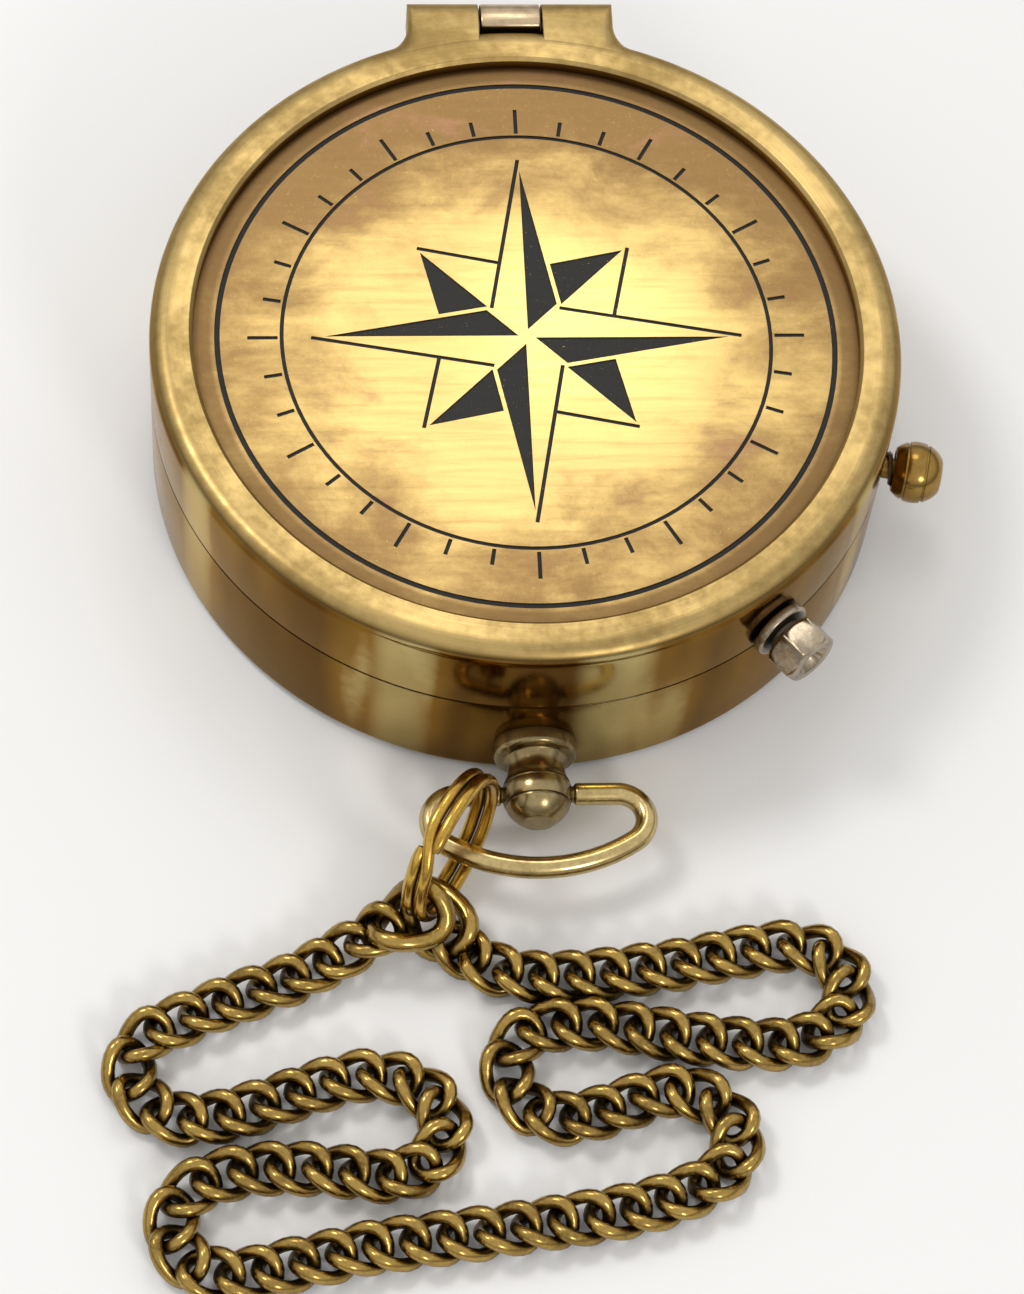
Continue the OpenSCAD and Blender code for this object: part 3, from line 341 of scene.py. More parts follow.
def case_finish():
    """Polished brass that is paler on the rim, with painted shade on its round shoulder, and browner, with
    long soft streaks and pale bands of painted reflection, on the round walls.
    """
    c = colours()
    f = Finish("case_brass")
    vector, x, y, z = f.place()
    radius = from_axis(x, y)
    around = x.do("ARCTAN2", y)
    east, north = x / radius, y / radius
    clouds = f.noise(vector, 0.05, 5.0, 0.6, 0.4)
    spots = f.noise(vector, 0.7, 4.0, 0.65)
    turned = f.noise(f.vector(radius * 9.0, z * 9.0, around * 2.0), 1.0, 4.0, 0.7)
    # Upright streaks round the walls, used for painted reflections
    streaks = f.noise(f.vector(east * 4.0, north * 4.0, z * 0.02), 1.0, 2.0, 0.45)
    # Painted reflections: pale bands on the walls at fixed azimuths
    sheen = 0.0
    for azimuth, half_width in PAINTED_SHEEN:
        angle = math.radians(azimuth)
        near = east * math.cos(angle) + north * math.sin(angle)
        sheen = f.between(near, math.cos(math.radians(half_width)), 1.0) + sheen
    # 1 on the round walls, 0 on the rim's top and on the hinge's lugs
    wall = f.between(radius, 36.7, 37.35) * f.between(z, 22.6, 21.6) * f.between(y, 37.6, 36.8)
    patina = f.between(clouds * 0.7 + spots * 0.3, 0.4, 0.66)
    recess = f.between(f.hollow(1.6), 0.12, 0.72)
    # Painted shade: the rim darkens where its round shoulder turns down from the top
    shoulder = f.between(z + clouds * 0.3, 22.95, 22.3)
    # Painted reflection: a dark line round the rim at the height of the lid's ledge
    painted_dark_reflection = f.between((z - LID_LEDGE_Z).do("ABSOLUTE"), 0.7, 0.2)
    rim = f.mix(patina * 0.65, c.gold, c.gold_worn)
    rim = f.mix(f.between(turned, 0.35, 0.75) * 0.22, rim, c.gold_worn)
    rim = f.mix(shoulder * 0.75, rim, c.gold_worn)
    rim = f.mix(painted_dark_reflection * 0.5, rim, c.wall_worn)
    # Painted reflections: brown streaks, then pale ones, along the walls
    side = f.mix(f.between(streaks * 0.9 + clouds * 0.1, 0.36, 0.62) * 0.85, c.wall, c.wall_worn)
    side = f.mix(f.between(streaks * 0.95 + spots * 0.05, 0.42, 0.34) * 0.6, side, c.wall_bright)
    # Painted reflection: the pale bands, broken up by clouds
    side = f.mix((sheen * (0.15 + clouds)).do("MINIMUM", 0.85), side, c.wall_bright)
    # Darker towards the bottom of the walls
    side = f.mix(f.between(z, 8.0, 0.5) * 0.4, side, c.wall_worn)
    # The dark line where base and lid meet
    seam = (z - (BASE_H + LID_Z) / 2).do("ABSOLUTE").do("LESS_THAN", 0.17) * radius.do("GREATER_THAN", 37.2)
    colour = f.mix(wall, rim, side)
    # Painted shade with grime in the hollows, and the dark seam
    colour = f.mix((recess * 0.85).do("MAXIMUM", seam * 0.9), colour, shade(c.wall_worn, 0.2))
    shine = 0.26 + patina * 0.12 + turned * 0.1 + recess * 0.1 - wall * 0.16 - shoulder * 0.06
    # The tint keeps the reflections at grazing angles as yellow as the brass
    return f.done(Base_Color=colour, Metallic=1.0, Roughness=shine, Specular_Tint=(1.0, 0.86, 0.66),
                  Normal=f.bump(turned * 0.6 + spots * 0.4, 0.25, 0.02))


def plate_finish():
    """Brushed brass with a painted highlight in the middle, a brownish bloom at the edge and black etching.
    """
    c = colours()
    f = Finish("lid_plate_brass")
    vector, x, y, z = f.place()
    radius = from_axis(x, y)
    # Painted highlight: a lamp's reflection, paler towards a spot near the plate's middle
    away = from_axis(x - 5.0, y - 1.0)
    clouds = f.noise(vector, 0.075, 5.0, 0.62, 0.3)
    streaks = f.noise(f.vector(x * 0.07, y * 1.3, 3.0), 1.0, 6.0, 0.7)
    hair = f.noise(f.vector(x * 0.12 + y * 0.9, y * 0.22 - x * 1.1, 5.0), 1.0, 2.0, 0.5, 0.5)
    scratch = f.between(hair, 0.495, 0.5) * f.between(hair, 0.505, 0.5)
    fine = f.noise(f.vector(x * 0.5, y * 9.0, 7.0), 1.0, 4.0, 0.8)
    specks = f.noise(vector, 3.2, 3.0, 0.7)
    painted_highlight = f.between(away + clouds * 16.0 - 8.0, 1.0, 17.0, 1.0, 0.0)
    blotch = f.noise(f.vector(x * 0.09, y * 0.13, z * 0.1), 1.0, 6.0, 0.66, 0.25)
    low_side = f.between(y, -8.0, -24.0) * 0.22
    bloom = f.between(radius * 0.026 + blotch * 1.1 + y * 0.008 + specks * 0.12 + low_side, 0.98, 1.5)
    rosy = f.between(blotch, 0.56, 0.7) * f.between(radius, 12.0, 26.0)
    colour = f.mix(painted_highlight * 0.85, c.plate, c.plate_glow)
    colour = f.mix(bloom * 0.9, colour, c.plate_worn)
    colour = f.mix(rosy * 0.6, colour, c.plate_rosy)
    colour = f.mix(f.between(streaks, 0.45, 0.8) * 0.3, colour, c.plate_worn)
    colour = f.mix(f.between(fine, 0.62, 0.85) * 0.35, colour, c.plate_glow)
    colour = f.mix(scratch * f.between(specks, 0.45, 0.6) * 0.5, colour, c.plate_glow)
    border = f.between(radius, 31.2, 31.7)
    colour = f.mix(border * (0.4 + clouds * 0.4), colour, shade(c.plate_worn, 0.6))
    # The etching is the floor of the plate's sunk lines, and is known by its height
    etched = f.number("ShaderNodeMath", {"operation": "COMPARE"}, {0: z, 1: PLATE_Z, 2: 0.03})
    inside = radius.do("LESS_THAN", PLATE_R) * etched
    grit = f.noise(vector, 5.0, 3.0, 0.8)
    ink = inside * f.between(grit, 0.24, 0.34)
    # Painted shade in the plate's hollows, chiefly along the rim's inner wall
    edge = f.between(f.hollow(1.8), 0.15, 0.75) * (1.0 - inside)
    colour = f.mix(ink, colour, c.etch)
    colour = f.mix(edge * 0.8, colour, shade(c.plate_worn, 0.3))
    rough = 0.26 + streaks * 0.16 + bloom * 0.1 + ink * 0.3
    return f.done(Base_Color=colour, Metallic=1.0 - ink * 0.85, Roughness=rough,
                  Normal=f.bump(fine * 0.5 + streaks * 0.5 + grit * ink, 0.35, 0.03))


def degree_finish():
    """Satin steel with a dark line at every second degree and a longer one at every tenth."""
    c = colours()
    f = Finish("degree_marks")
    vector, x, y, z = f.place()
    inner, outer, count, long_each, half_line = 29.75, 31.5, 180, 5, 0.075
    radius = from_axis(x, y)
    number, near = graduation(x.do("ARCTAN2", y), radius, count)
    in_group = (number / long_each + 0.5).do("FRACT")
    is_long = (in_group - 0.5).do("ABSOLUTE").do("LESS_THAN", 0.5 / long_each)
    start = outer - (outer - inner) * (0.82 + 0.18 * is_long)
    on_ring = radius.do("GREATER_THAN", start) * radius.do("LESS_THAN", outer)
    line = near.do("LESS_THAN", half_line) * on_ring
    cloud = f.noise(vector, 0.5, 4.0, 0.6)
    grain = f.noise(f.vector(radius * 8.0, z * 8.0, 1.0), 1.0, 4.0, 0.7)
    colour = f.mix(cloud * 0.35, c.steel, shade(c.steel, 0.6))
    colour = f.mix(line, colour, (0.012, 0.011, 0.01))
    return f.done(Base_Color=colour, Metallic=1.0 - line * 0.9, Roughness=0.28 + grain * 0.2 + line * 0.3,
                  Normal=f.bump(grain, 0.25, 0.02))


def enamel_finish():
    """Cream dial enamel with a star of eight arms, two thin circles and a ring of ticks."""
    c = colours()
    f = Finish("dial_enamel")
    vector, x, y, _ = f.place()
    eighth = math.pi / 4
    radius = from_axis(x, y)
    angle = x.do("ARCTAN2", y)

    def arms(off, reach, width):
        """Four pointed arms, from the angle off the middle line of the nearest one."""
        half_angle = (width - radius / reach * width) / (radius + 0.01)
        return off.do("LESS_THAN", half_angle) * radius.do("LESS_THAN", reach)

    long_arms = arms(eighth - (angle.do("PINGPONG", 2 * eighth) - eighth).do("ABSOLUTE"), 18.0, 2.2)
    short_arms = arms((angle.do("PINGPONG", eighth) - eighth).do("ABSOLUTE"), 12.0, 1.7)
    dark_side = ((angle + eighth).do("PINGPONG", eighth) - eighth / 2).do("GREATER_THAN", 0.0)
    _, near = graduation(angle, radius, 72)
    ticks = near.do("LESS_THAN", 0.09) * radius.do("GREATER_THAN", 25.6) * radius.do("LESS_THAN", 27.4)
    circles = ((radius - 25.3).do("ABSOLUTE").do("LESS_THAN", 0.1)
               + (radius - 20.2).do("ABSOLUTE").do("LESS_THAN", 0.07))
    mottle = f.noise(vector, 0.25, 5.0, 0.6)
    colour = f.mix(f.between(mottle, 0.35, 0.8) * 0.35, c.enamel, shade(c.enamel, 0.78))
    ink = (ticks + circles + short_arms * (0.35 + 0.65 * dark_side)).do("MINIMUM", 1.0)
    colour = f.mix(ink * 0.92, colour, (0.02, 0.02, 0.022))
    colour = f.mix(long_arms * (0.55 + 0.45 * dark_side), colour, (0.045, 0.02, 0.012))
    return f.done(Base_Color=colour, Roughness=0.35 + mottle * 0.2, Coat_Weight=0.3,
                  Normal=f.bump(mottle, 0.1, 0.02))


def steel_finish():
    """Bright steel of pins, screws and springs."""
    steel = colours().steel
    return aged_metal("bright_steel", steel, shade(steel, 0.5), (0.2, 0.36), 0.3, 0.8, shade_and_grime=0.6)


def needle_finish():
    """Blued steel with a red north half."""
    f = Finish("needle_blue")
    vector, _, y, _ = f.place()
    cloud = f.noise(vector, 1.4, 4.0, 0.6)
    north = y.do("GREATER_THAN", 3.0)
    colour = f.mix(cloud, (0.012, 0.03, 0.14), (0.03, 0.07, 0.25))
    colour = f.mix(north, colour, f.mix(cloud, (0.42, 0.015, 0.012), (0.6, 0.04, 0.025)))
    return f.done(Base_Color=colour, Metallic=1.0 - north * 0.8, Roughness=0.22 + cloud * 0.14,
                  Normal=f.bump(cloud, 0.1, 0.01))


def glass_finish():
    """Clear glass with faint smears."""
    f = Finish("clear_glass")
    smear = f.noise(f.place()[0], 0.2, 4.0, 0.6)
    return f.done(Base_Color=(0.93, 0.97, 0.96), Roughness=f.between(smear, 0.5, 0.8, 0.01, 0.07),
                  Alpha=0.05 + smear * 0.04, IOR=1.5)


def gasket_finish():
    """Dusty black rubber."""
    f = Finish("gasket_rubber")
    dust = f.noise(f.place()[0], 2.0, 5.0, 0.7)
    return f.done(Base_Color=f.mix(dust, (0.012, 0.012, 0.012), (0.05, 0.048, 0.045)),
                  Roughness=0.6 + dust * 0.25, Normal=f.bump(dust, 0.3, 0.03))


def jewel_finish():
    """Polished red jewel."""
    f = Finish("ruby_jewel")
    depth = f.noise(f.place()[0], 2.4, 2.0, 0.5)
    return f.done(Base_Color=f.mix(depth, (0.35, 0.004, 0.02), (0.6, 0.02, 0.05)),
                  Roughness=0.06 + depth * 0.06, IOR=1.76)


def ink_finish():
    """Black printing ink, a little worn."""
    f = Finish("printed_ink")
    wear = f.noise(f.place()[0], 3.0, 3.0, 0.6)
    return f.done(Base_Color=f.mix(wear, (0.012, 0.012, 0.014), (0.05, 0.045, 0.04)),
                  Roughness=0.5 + wear * 0.2)


# Azimuth and half width in degrees of the pale bands of painted reflection on the casing's walls
PAINTED_SHEEN = ((-111, 5.5), (-79, 7.0), (-30, 4.0), (38, 6.0), (97, 5.0), (152, 7.0), (208, 5.0))

# Aged metals: bright colour, worn colour, roughness of both, strength of the bump, width in millimetres
# of the hollows that darken with painted shade and grime, and what differs from the usual metal
METALS = {
    "hinge_bronze": ("copper", "bronze_worn", (0.22, 0.4), 0.35, 1.2, {"brushed": "across"}),
    "knob_brass": ("knob", "yellow_worn", (0.12, 0.26), 0.15, 1.2, {"cloud": 0.12}),
    "fitting_bronze": ("bronze", "bronze_worn", (0.15, 0.34), 0.25, 1.3, {"cloud": 0.1}),
    "bow_brass": ("bow", "bow_worn", (0.14, 0.3), 0.25, 1.3, {"cloud": 0.1}),
    "adjuster_bronze": ("pewter", "pewter_worn", (0.16, 0.36), 0.25, 1.6,
                        {"cloud": 0.2, "wear": (0.4, 0.7)}),
    "inner_brass": ("yellow", "yellow_worn", (0.24, 0.4), 0.3, 0.9, {"brushed": "round"}),
    "ring_brass": ("yellow", "yellow_worn", (0.12, 0.3), 0.25, 1.6, {"cloud": 0.16}),
    "chain_brass": ("chain", "chain_dark", (0.14, 0.36), 0.35, 2.4,
                    {"cloud": 0.2, "shade_and_grime": 0.97, "wear": (0.42, 0.76)}),
}
MAKERS = {
    "case_brass": case_finish, "plate_brass": plate_finish, "steel": steel_finish,
    "dial_white": enamel_finish, "degree_marks": degree_finish, "needle_blue": needle_finish,
    "glass_clear": glass_finish, "gasket_rubber": gasket_finish, "jewel": jewel_finish,
    "printed_ink": ink_finish,
}
FINISHES = {}


def finish(name):
    """The named finish, made once."""
    if name in FINISHES:
        return FINISHES[name]
    if name in METALS:
        bright, worn, rough, grain, reach, differs = METALS[name]
        bright, worn = (getattr(colours(), colour) for colour in (bright, worn))
        FINISHES[name] = aged_metal(name, bright, worn, rough, grain, reach, **differs)
    else:
        FINISHES[name] = MAKERS[name]()
    return FINISHES[name]


def whole_turn(count):
    """Angles at even steps all round."""
    return [2 * math.pi * k / count for k in range(count)]


def on_circle(a, radius, x=0.0, y=0.0):
    """The point at an angle on a circle about (x, y)."""
    return x + radius * math.cos(a), y + radius * math.sin(a)


def rounded(points, closed=True, steps=5):
    """A profile from (r, z) or (r, z, round) points, with its corners rounded where asked."""
    out, count = [], len(points)
    for i, p in enumerate(points):
        radius = p[2] if len(p) > 2 else 0.0
        here = Vector(p[:2])
        if not radius or (not closed and i in (0, count - 1)):
            out.append(tuple(here))
            continue
        before = (Vector(points[i - 1][:2]) - here).normalized()
        after = (Vector(points[(i + 1) % count][:2]) - here).normalized()
        half = before.angle(after) / 2
        reach = radius / math.tan(half)
        centre = here + (before + after).normalized() * (radius / math.sin(half))
        first, last = here + before * reach - centre, here + after * reach - centre
        turn = first.angle_signed(last)
        for k in range(steps + 1):
            a = -turn * k / steps
            out.append((centre.x + first.x * math.cos(a) - first.y * math.sin(a),
                        centre.y + first.x * math.sin(a) + first.y * math.cos(a)))
    return out


def lathe(bm, profile, steps, place=None, sweep=None):
    """Turns a closed profile round Z, or through a sweep in degrees; points on the axis become poles."""
    on_axis = 1e-6
    start, end = sweep or (0.0, 360.0)
    angles = [math.radians(start + (end - start) * k / steps) for k in range(steps + 1 if sweep else steps)]
    rings = []
    for r, z in profile:
        if r < on_axis:
            rings.append([bm.verts.new((0, 0, z))])
        else:
            rings.append([bm.verts.new((*on_circle(a, r), z)) for a in angles])
    for i, ring in enumerate(rings):
        other = rings[(i + 1) % len(rings)]
        if len(ring) == 1 and len(other) == 1:
            continue
        for k in range(steps):
            corners = [ring[k % len(ring)], ring[(k + 1) % len(ring)],
                       other[(k + 1) % len(other)], other[k % len(other)]]
            bm.faces.new(list(dict.fromkeys(corners)))
    if sweep:
        bm.faces.new([ring[0] for ring in rings])
        bm.faces.new([ring[-1] for ring in reversed(rings)])
    if place is not None:
        bmesh.ops.transform(bm, matrix=place, verts=[v for ring in rings for v in ring])


def join_rings(bm, first, second):
    """Faces between two rings that have the same number of points."""
    for k, point in enumerate(first):
        n = (k + 1) % len(first)
        bm.faces.new((point, first[n], second[n], second[k]))


def sweep_tube(bm, path, radii, sides):
    """A tube with closed ends along points, with a radius at each; its sides don't twist."""
    path = [Vector(p) for p in path]
    last = len(path) - 1
    tangents = [(path[min(i + 1, last)] - path[max(i - 1, 0)]).normalized() for i in range(len(path))]
    normal = tangents[0].orthogonal().normalized()
    rings = []
    for p, tangent, radius in zip(path, tangents, radii):
        normal = (normal - tangent * normal.dot(tangent)).normalized()
        side = tangent.cross(normal)
        rings.append([bm.verts.new(p + (normal * math.cos(a) + side * math.sin(a)) * radius)
                      for a in whole_turn(sides)])
    for ring, other in zip(rings, rings[1:]):
        join_rings(bm, ring, other)
    bm.faces.new(list(reversed(rings[0])))
    bm.faces.new(rings[-1])


def prism(bm, outline, low, high):
    """Extrudes an outline of (y, z) points from x = low to x = high."""
    first, second = ([bm.verts.new((x, y, z)) for y, z in outline] for x in (low, high))
    join_rings(bm, first, second)
    bm.faces.new(list(reversed(first)))
    bm.faces.new(second)


def span(spot, a, b):
    """Distance of a spot from the line between two points."""
    share = (spot - a).dot(b - a) / (b - a).length_squared
    return (spot - a.lerp(b, min(max(share, 0.0), 1.0))).length


def radial(azimuth, z):
    """Turns +Z of a shape outwards on a radial axis of the casing."""
    return (Matrix.Rotation(math.radians(azimuth), 4, "Z") @ Matrix.Translation((0, 0, z))
            @ Matrix.Rotation(math.radians(90), 4, "Y"))


def linked(name, data):
    """A new object in the scene."""
    made = bpy.data.objects.new(name, data)
    bpy.context.scene.collection.objects.link(made)
    return made


def mesh_object(name, bm):
    """A piece from a shape in millimetres, with its doubles merged and its faces turned outwards."""
    bmesh.ops.remove_doubles(bm, verts=bm.verts, dist=1e-4)
    bmesh.ops.recalc_face_normals(bm, faces=bm.faces)
    bmesh.ops.scale(bm, vec=(MM, MM, MM), verts=bm.verts)
    mesh = bpy.data.meshes.new(name)
    bm.to_mesh(mesh)
    bm.free()
    return linked(name, mesh)


def plain_mesh(holder):
    """What the object evaluates to, as a new mesh."""
    bpy.context.view_layer.update()
    graph = bpy.context.evaluated_depsgraph_get()
    return bpy.data.meshes.new_from_object(holder.evaluated_get(graph), depsgraph=graph)


def bake_modifiers(piece):
    """Applies the piece's modifiers to a plain mesh."""
    mesh = plain_mesh(piece)
    piece.modifiers.clear()
    old, piece.data = piece.data, mesh
    mesh.name = piece.name
    bpy.data.meshes.remove(old)


def cut(piece, *cutters):
    """Takes the cutters' shapes out of the piece."""
    for cutter in cutters:
        step = piece.modifiers.new("cut", "BOOLEAN")
        step.operation, step.solver, step.object = "DIFFERENCE", "EXACT", cutter
    bake_modifiers(piece)
    for cutter in cutters:
        bpy.data.objects.remove(cutter)


def bevelled(piece, width):
    """Rounds the piece's corners."""
    step = piece.modifiers.new("edges", "BEVEL")
    step.width, step.segments, step.limit_method = width, 3, "ANGLE"
    step.angle_limit = math.radians(35)
    bake_modifiers(piece)


def place_piece(piece, body, look, *nodes, sharp=32, slot=None):
    """Shades the finished piece, gives it its finish, hangs it on what it rides on and hides the nodes it
    stands for.
    """
    mesh = piece.data
    mesh.materials.clear()
    mesh.materials.append(finish(look))
    mesh.polygons.foreach_set("material_index", [0] * len(mesh.polygons))
    mesh.shade_smooth()
    mesh.set_sharp_from_angle(angle=math.radians(sharp))
    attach(piece, body)
    if nodes:
        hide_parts(*nodes)


class Tree:
    """A node tree for a Geometry Nodes modifier, with named inputs."""

    def __init__(self, name, inputs):
        self.group = bpy.data.node_groups.new(name, "GeometryNodeTree")
        face = self.group.interface
        face.new_socket("Geometry", in_out="INPUT", socket_type="NodeSocketGeometry")
        self.ids = {}
        for label, kind in inputs:
            self.ids[label] = face.new_socket(label, in_out="INPUT", socket_type=kind).identifier
        face.new_socket("Geometry", in_out="OUTPUT", socket_type="NodeSocketGeometry")
        self.start = self.group.nodes.new("NodeGroupInput")
        self.end = self.group.nodes.new("NodeGroupOutput")

    def value(self, label):
        return self.start.outputs[label]

    def node(self, kind, settings=None, values=None):
        made = self.group.nodes.new(kind)
        for key, value in (settings or {}).items():
            setattr(made, key, value)
        for key, value in (values or {}).items():
            if isinstance(value, bpy.types.NodeSocket):
                self.group.links.new(value, made.inputs[key])
            else:
                made.inputs[key].default_value = value
        return made

    def out(self, kind, settings=None, values=None):
        """The first output of a new node."""
        return self.node(kind, settings, values).outputs[0]

    def maths(self, operation, a, b):
        return self.out("ShaderNodeMath", {"operation": operation}, {0: a, 1: b})

    def on_points(self, shape, **values):
        """Sets the shape on each point that comes in, makes the copies real and gives them the material."""
        copies = self.out("GeometryNodeInstanceOnPoints", None,
                          {"Points": self.value("Geometry"), "Instance": shape, **values})
        real = self.out("GeometryNodeRealizeInstances", None, {0: copies})
        made = self.out("GeometryNodeSetMaterial", None,
                        {"Geometry": real, "Material": self.value("Material")})
        self.group.links.new(made, self.end.inputs[0])

    def run(self, piece, values):
        """Runs the tree on the piece and leaves it as a plain mesh."""
        step = piece.modifiers.new(self.group.name, "NODES")
        step.node_group = self.group
        for label, value in values.items():
            step[self.ids[label]] = value
        bake_modifiers(piece)


def link_tree():
    """Curb links along a line of points: each is a ring of wire, pulled long and twisted."""
    around_link, around_wire = 26, 10
    t = Tree("curb_links", [("Half Length", "NodeSocketFloat"), ("Half Width", "NodeSocketFloat"),
                            ("Twist", "NodeSocketFloat"), ("Wire", "NodeSocketFloat"),
                            ("Turn", "NodeSocketFloat"), ("Seed", "NodeSocketInt"),
                            ("Material", "NodeSocketMaterial")])
    ring = t.out("GeometryNodeCurvePrimitiveCircle", None, {"Resolution": around_link, "Radius": 1.0})
    part = t.node("ShaderNodeSeparateXYZ", None, {0: t.out("GeometryNodeInputPosition")}).outputs
    long = t.maths("MULTIPLY", part[0], t.value("Half Length"))
    wide = t.maths("MULTIPLY", part[1], t.value("Half Width"))
    twist = t.maths("MULTIPLY", t.value("Twist"), 2.0)
    rise = t.maths("MULTIPLY", t.maths("MULTIPLY", part[0], part[1]), twist)
    shape = t.out("ShaderNodeCombineXYZ", None, {0: long, 1: wide, 2: rise})
    bent = t.out("GeometryNodeSetPosition", None, {"Geometry": ring, "Position": shape})
    wire = t.out("GeometryNodeCurvePrimitiveCircle", None,
                 {"Resolution": around_wire, "Radius": t.value("Wire")})
    link = t.out("GeometryNodeCurveToMesh", None, {"Curve": bent, "Profile Curve": wire})
    along = t.out("GeometryNodeInputNamedAttribute", {"data_type": "FLOAT_VECTOR"}, {"Name": "along"})
    aim = t.out("FunctionNodeAxesToRotation", {"primary_axis": "X", "secondary_axis": "Z"},
                {0: along, 1: (0.0, 0.0, 1.0)})
    chance = t.out("FunctionNodeRandomValue", {"data_type": "FLOAT_VECTOR"},
                   {"Seed": t.value("Seed"), 0: (-1.0, -0.25, -0.25), 1: (1.0, 0.25, 0.25)})
    turn = t.out("ShaderNodeVectorMath", {"operation": "SCALE"}, {0: chance, "Scale": t.value("Turn")})
    euler = t.out("FunctionNodeEulerToRotation", None, {0: turn})
    aimed = t.out("FunctionNodeRotateRotation", {"rotation_space": "LOCAL"}, {0: aim, 1: euler})
    scale = t.out("GeometryNodeInputNamedAttribute", {"data_type": "FLOAT"}, {"Name": "size"})
    t.on_points(link, Rotation=aimed, Scale=scale)
    return t


def points_object(name, points, along=None, size=None):
    """A mesh of loose points in metres, with the direction and size that a tree reads."""
    mesh = bpy.data.meshes.new(name)
    mesh.from_pydata([[c * MM for c in p] for p in points], [], [])
    if along:
        turns = mesh.attributes.new("along", "FLOAT_VECTOR", "POINT")
        turns.data.foreach_set("vector", [c for v in along for c in v])
    if size:
        mesh.attributes.new("size", "FLOAT", "POINT").data.foreach_set("value", size)
    return linked(name, mesh)


def route_line(steps=12):
    """The route as a fine smooth line of points in millimetres."""
    points = [Vector(p) for p in ROUTE]
    last, line = len(points) - 1, []
    for i in range(last):
        p0, p1, p2, p3 = points[max(i - 1, 0)], points[i], points[i + 1], points[min(i + 2, last)]
        for k in range(steps):
            t = k / steps
            line.append((2 * p1 + (p2 - p0) * t + (2 * p0 - 5 * p1 + 4 * p2 - p3) * t * t
                         + (3 * p1 - p0 - 3 * p2 + p3) * t ** 3) / 2)
    line.append(points[last])
    return line


def at(line, run, s):
    """The place on a line at a distance from its start; run is that distance at each of its points."""
    s = min(max(s, 0.0), run[-1])
    low = next(i for i in range(len(run) - 1) if s <= run[i + 1])
    return line[low].lerp(line[low + 1], (s - run[low]) / (run[low + 1] - run[low]))


class COMPASS_OT_chain(bpy.types.Operator):
    """Makes the curb chain and its two end links along the route"""
    bl_idname = "compass.chain"
    bl_label = "Chain"

    def execute(self, context):
        c = chain_sizes()
        before_first, into_end, aim_over, sway = 4.3, 0.5, 2.0, 0.16
        # The curb links are flatter than the solids' rings, so their lying part comes down near the floor
        clear, blend = 0.3, 1.5
        rest = (c.twist + c.wire) / MM + clear
        line = []
        for p in route_line():
            lying = 1 - min(1, max(0, (p.z - FLAT) / blend))
            line.append(Vector((p.x, p.y, p.z - (FLAT - rest) * lying)))
        run = [0.0]
        for a, b in zip(line, line[1:]):
            run.append(run[-1] + (b - a).length)
        whole = run[-1]
        count = round((whole - 2 * before_first) / (c.pitch / MM))
        step = (whole - 2 * before_first) / count
        spots = [before_first + i * step for i in range(count + 1)]
        points = [at(line, run, s) for s in spots]
        along = [(at(line, run, s + step / 2) - at(line, run, s - step / 2)).normalized() for s in spots]
        tree = link_tree()
        shape = {"Half Length": c.half_length, "Half Width": c.half_width, "Twist": c.twist, "Wire": c.wire,
                 "Seed": c.seed, "Material": finish("chain_brass")}
        chain = points_object("chain", points, along, [1.0] * len(points))
        tree.run(chain, {**shape, "Turn": sway})
        place_piece(chain, "casing", "chain_brass", "chain_a", "chain_b", "chain_c", "chain_d", sharp=80)
        first, last = line[0], line[-1]
        aims = [(at(line, run, aim_over) - first).normalized(),
                (last - at(line, run, whole - aim_over)).normalized()]
        ends = [first + aims[0] * into_end, last - aims[1] * into_end]
        big = points_object("chain_end_links", ends, aims, [c.end_scale] * 2)
        tree.run(big, {**shape, "Turn": 0.0})
        place_piece(big, "casing", "chain_brass", "end_links", sharp=80)
        return {"FINISHED"}


class COMPASS_OT_split_ring(bpy.types.Operator):
    """Makes the split ring: two close turns of wire with a slanted step"""
    bl_idname = "compass.split_ring"
    bl_label = "Split Ring"

    def execute(self, context):
        s = sizes()
        radius, wire = s.ring_radius / MM, s.ring_wire / MM
        # One turn lies half a step below the middle and one above it; the wire's ends are rounded off
        half, steps, slant, tips = wire + 0.04, 216, 0.07, (0.62, 0.85, 0.95, 0.99)
        turn = (Matrix.Translation(RING_AT) @ Matrix.Rotation(math.radians(RING_AZ), 4, "Z")
                @ Matrix.Rotation(math.radians(RING_TILT), 4, "Y")
                @ Matrix.Rotation(math.radians(RING_START), 4, "Z"))
        path, radii = [], []
        for i in range(steps + 1):
            u = i / steps
            a = 4 * math.pi * u
            side = max(-1.0, min(1.0, 2 * (u - 0.5) / slant))
            path.append(turn @ Vector((*on_circle(a, radius), half * math.sin(side * math.pi / 2))))
            from_end = min(i, steps - i)
            radii.append(wire * (tips[from_end] if from_end < len(tips) else 1.0))
        bm = bmesh.new()
        sweep_tube(bm, path, radii, sides=14)
        place_piece(mesh_object("split_ring_wire", bm), "casing", "ring_brass", "split_ring", sharp=50)
        return {"FINISHED"}


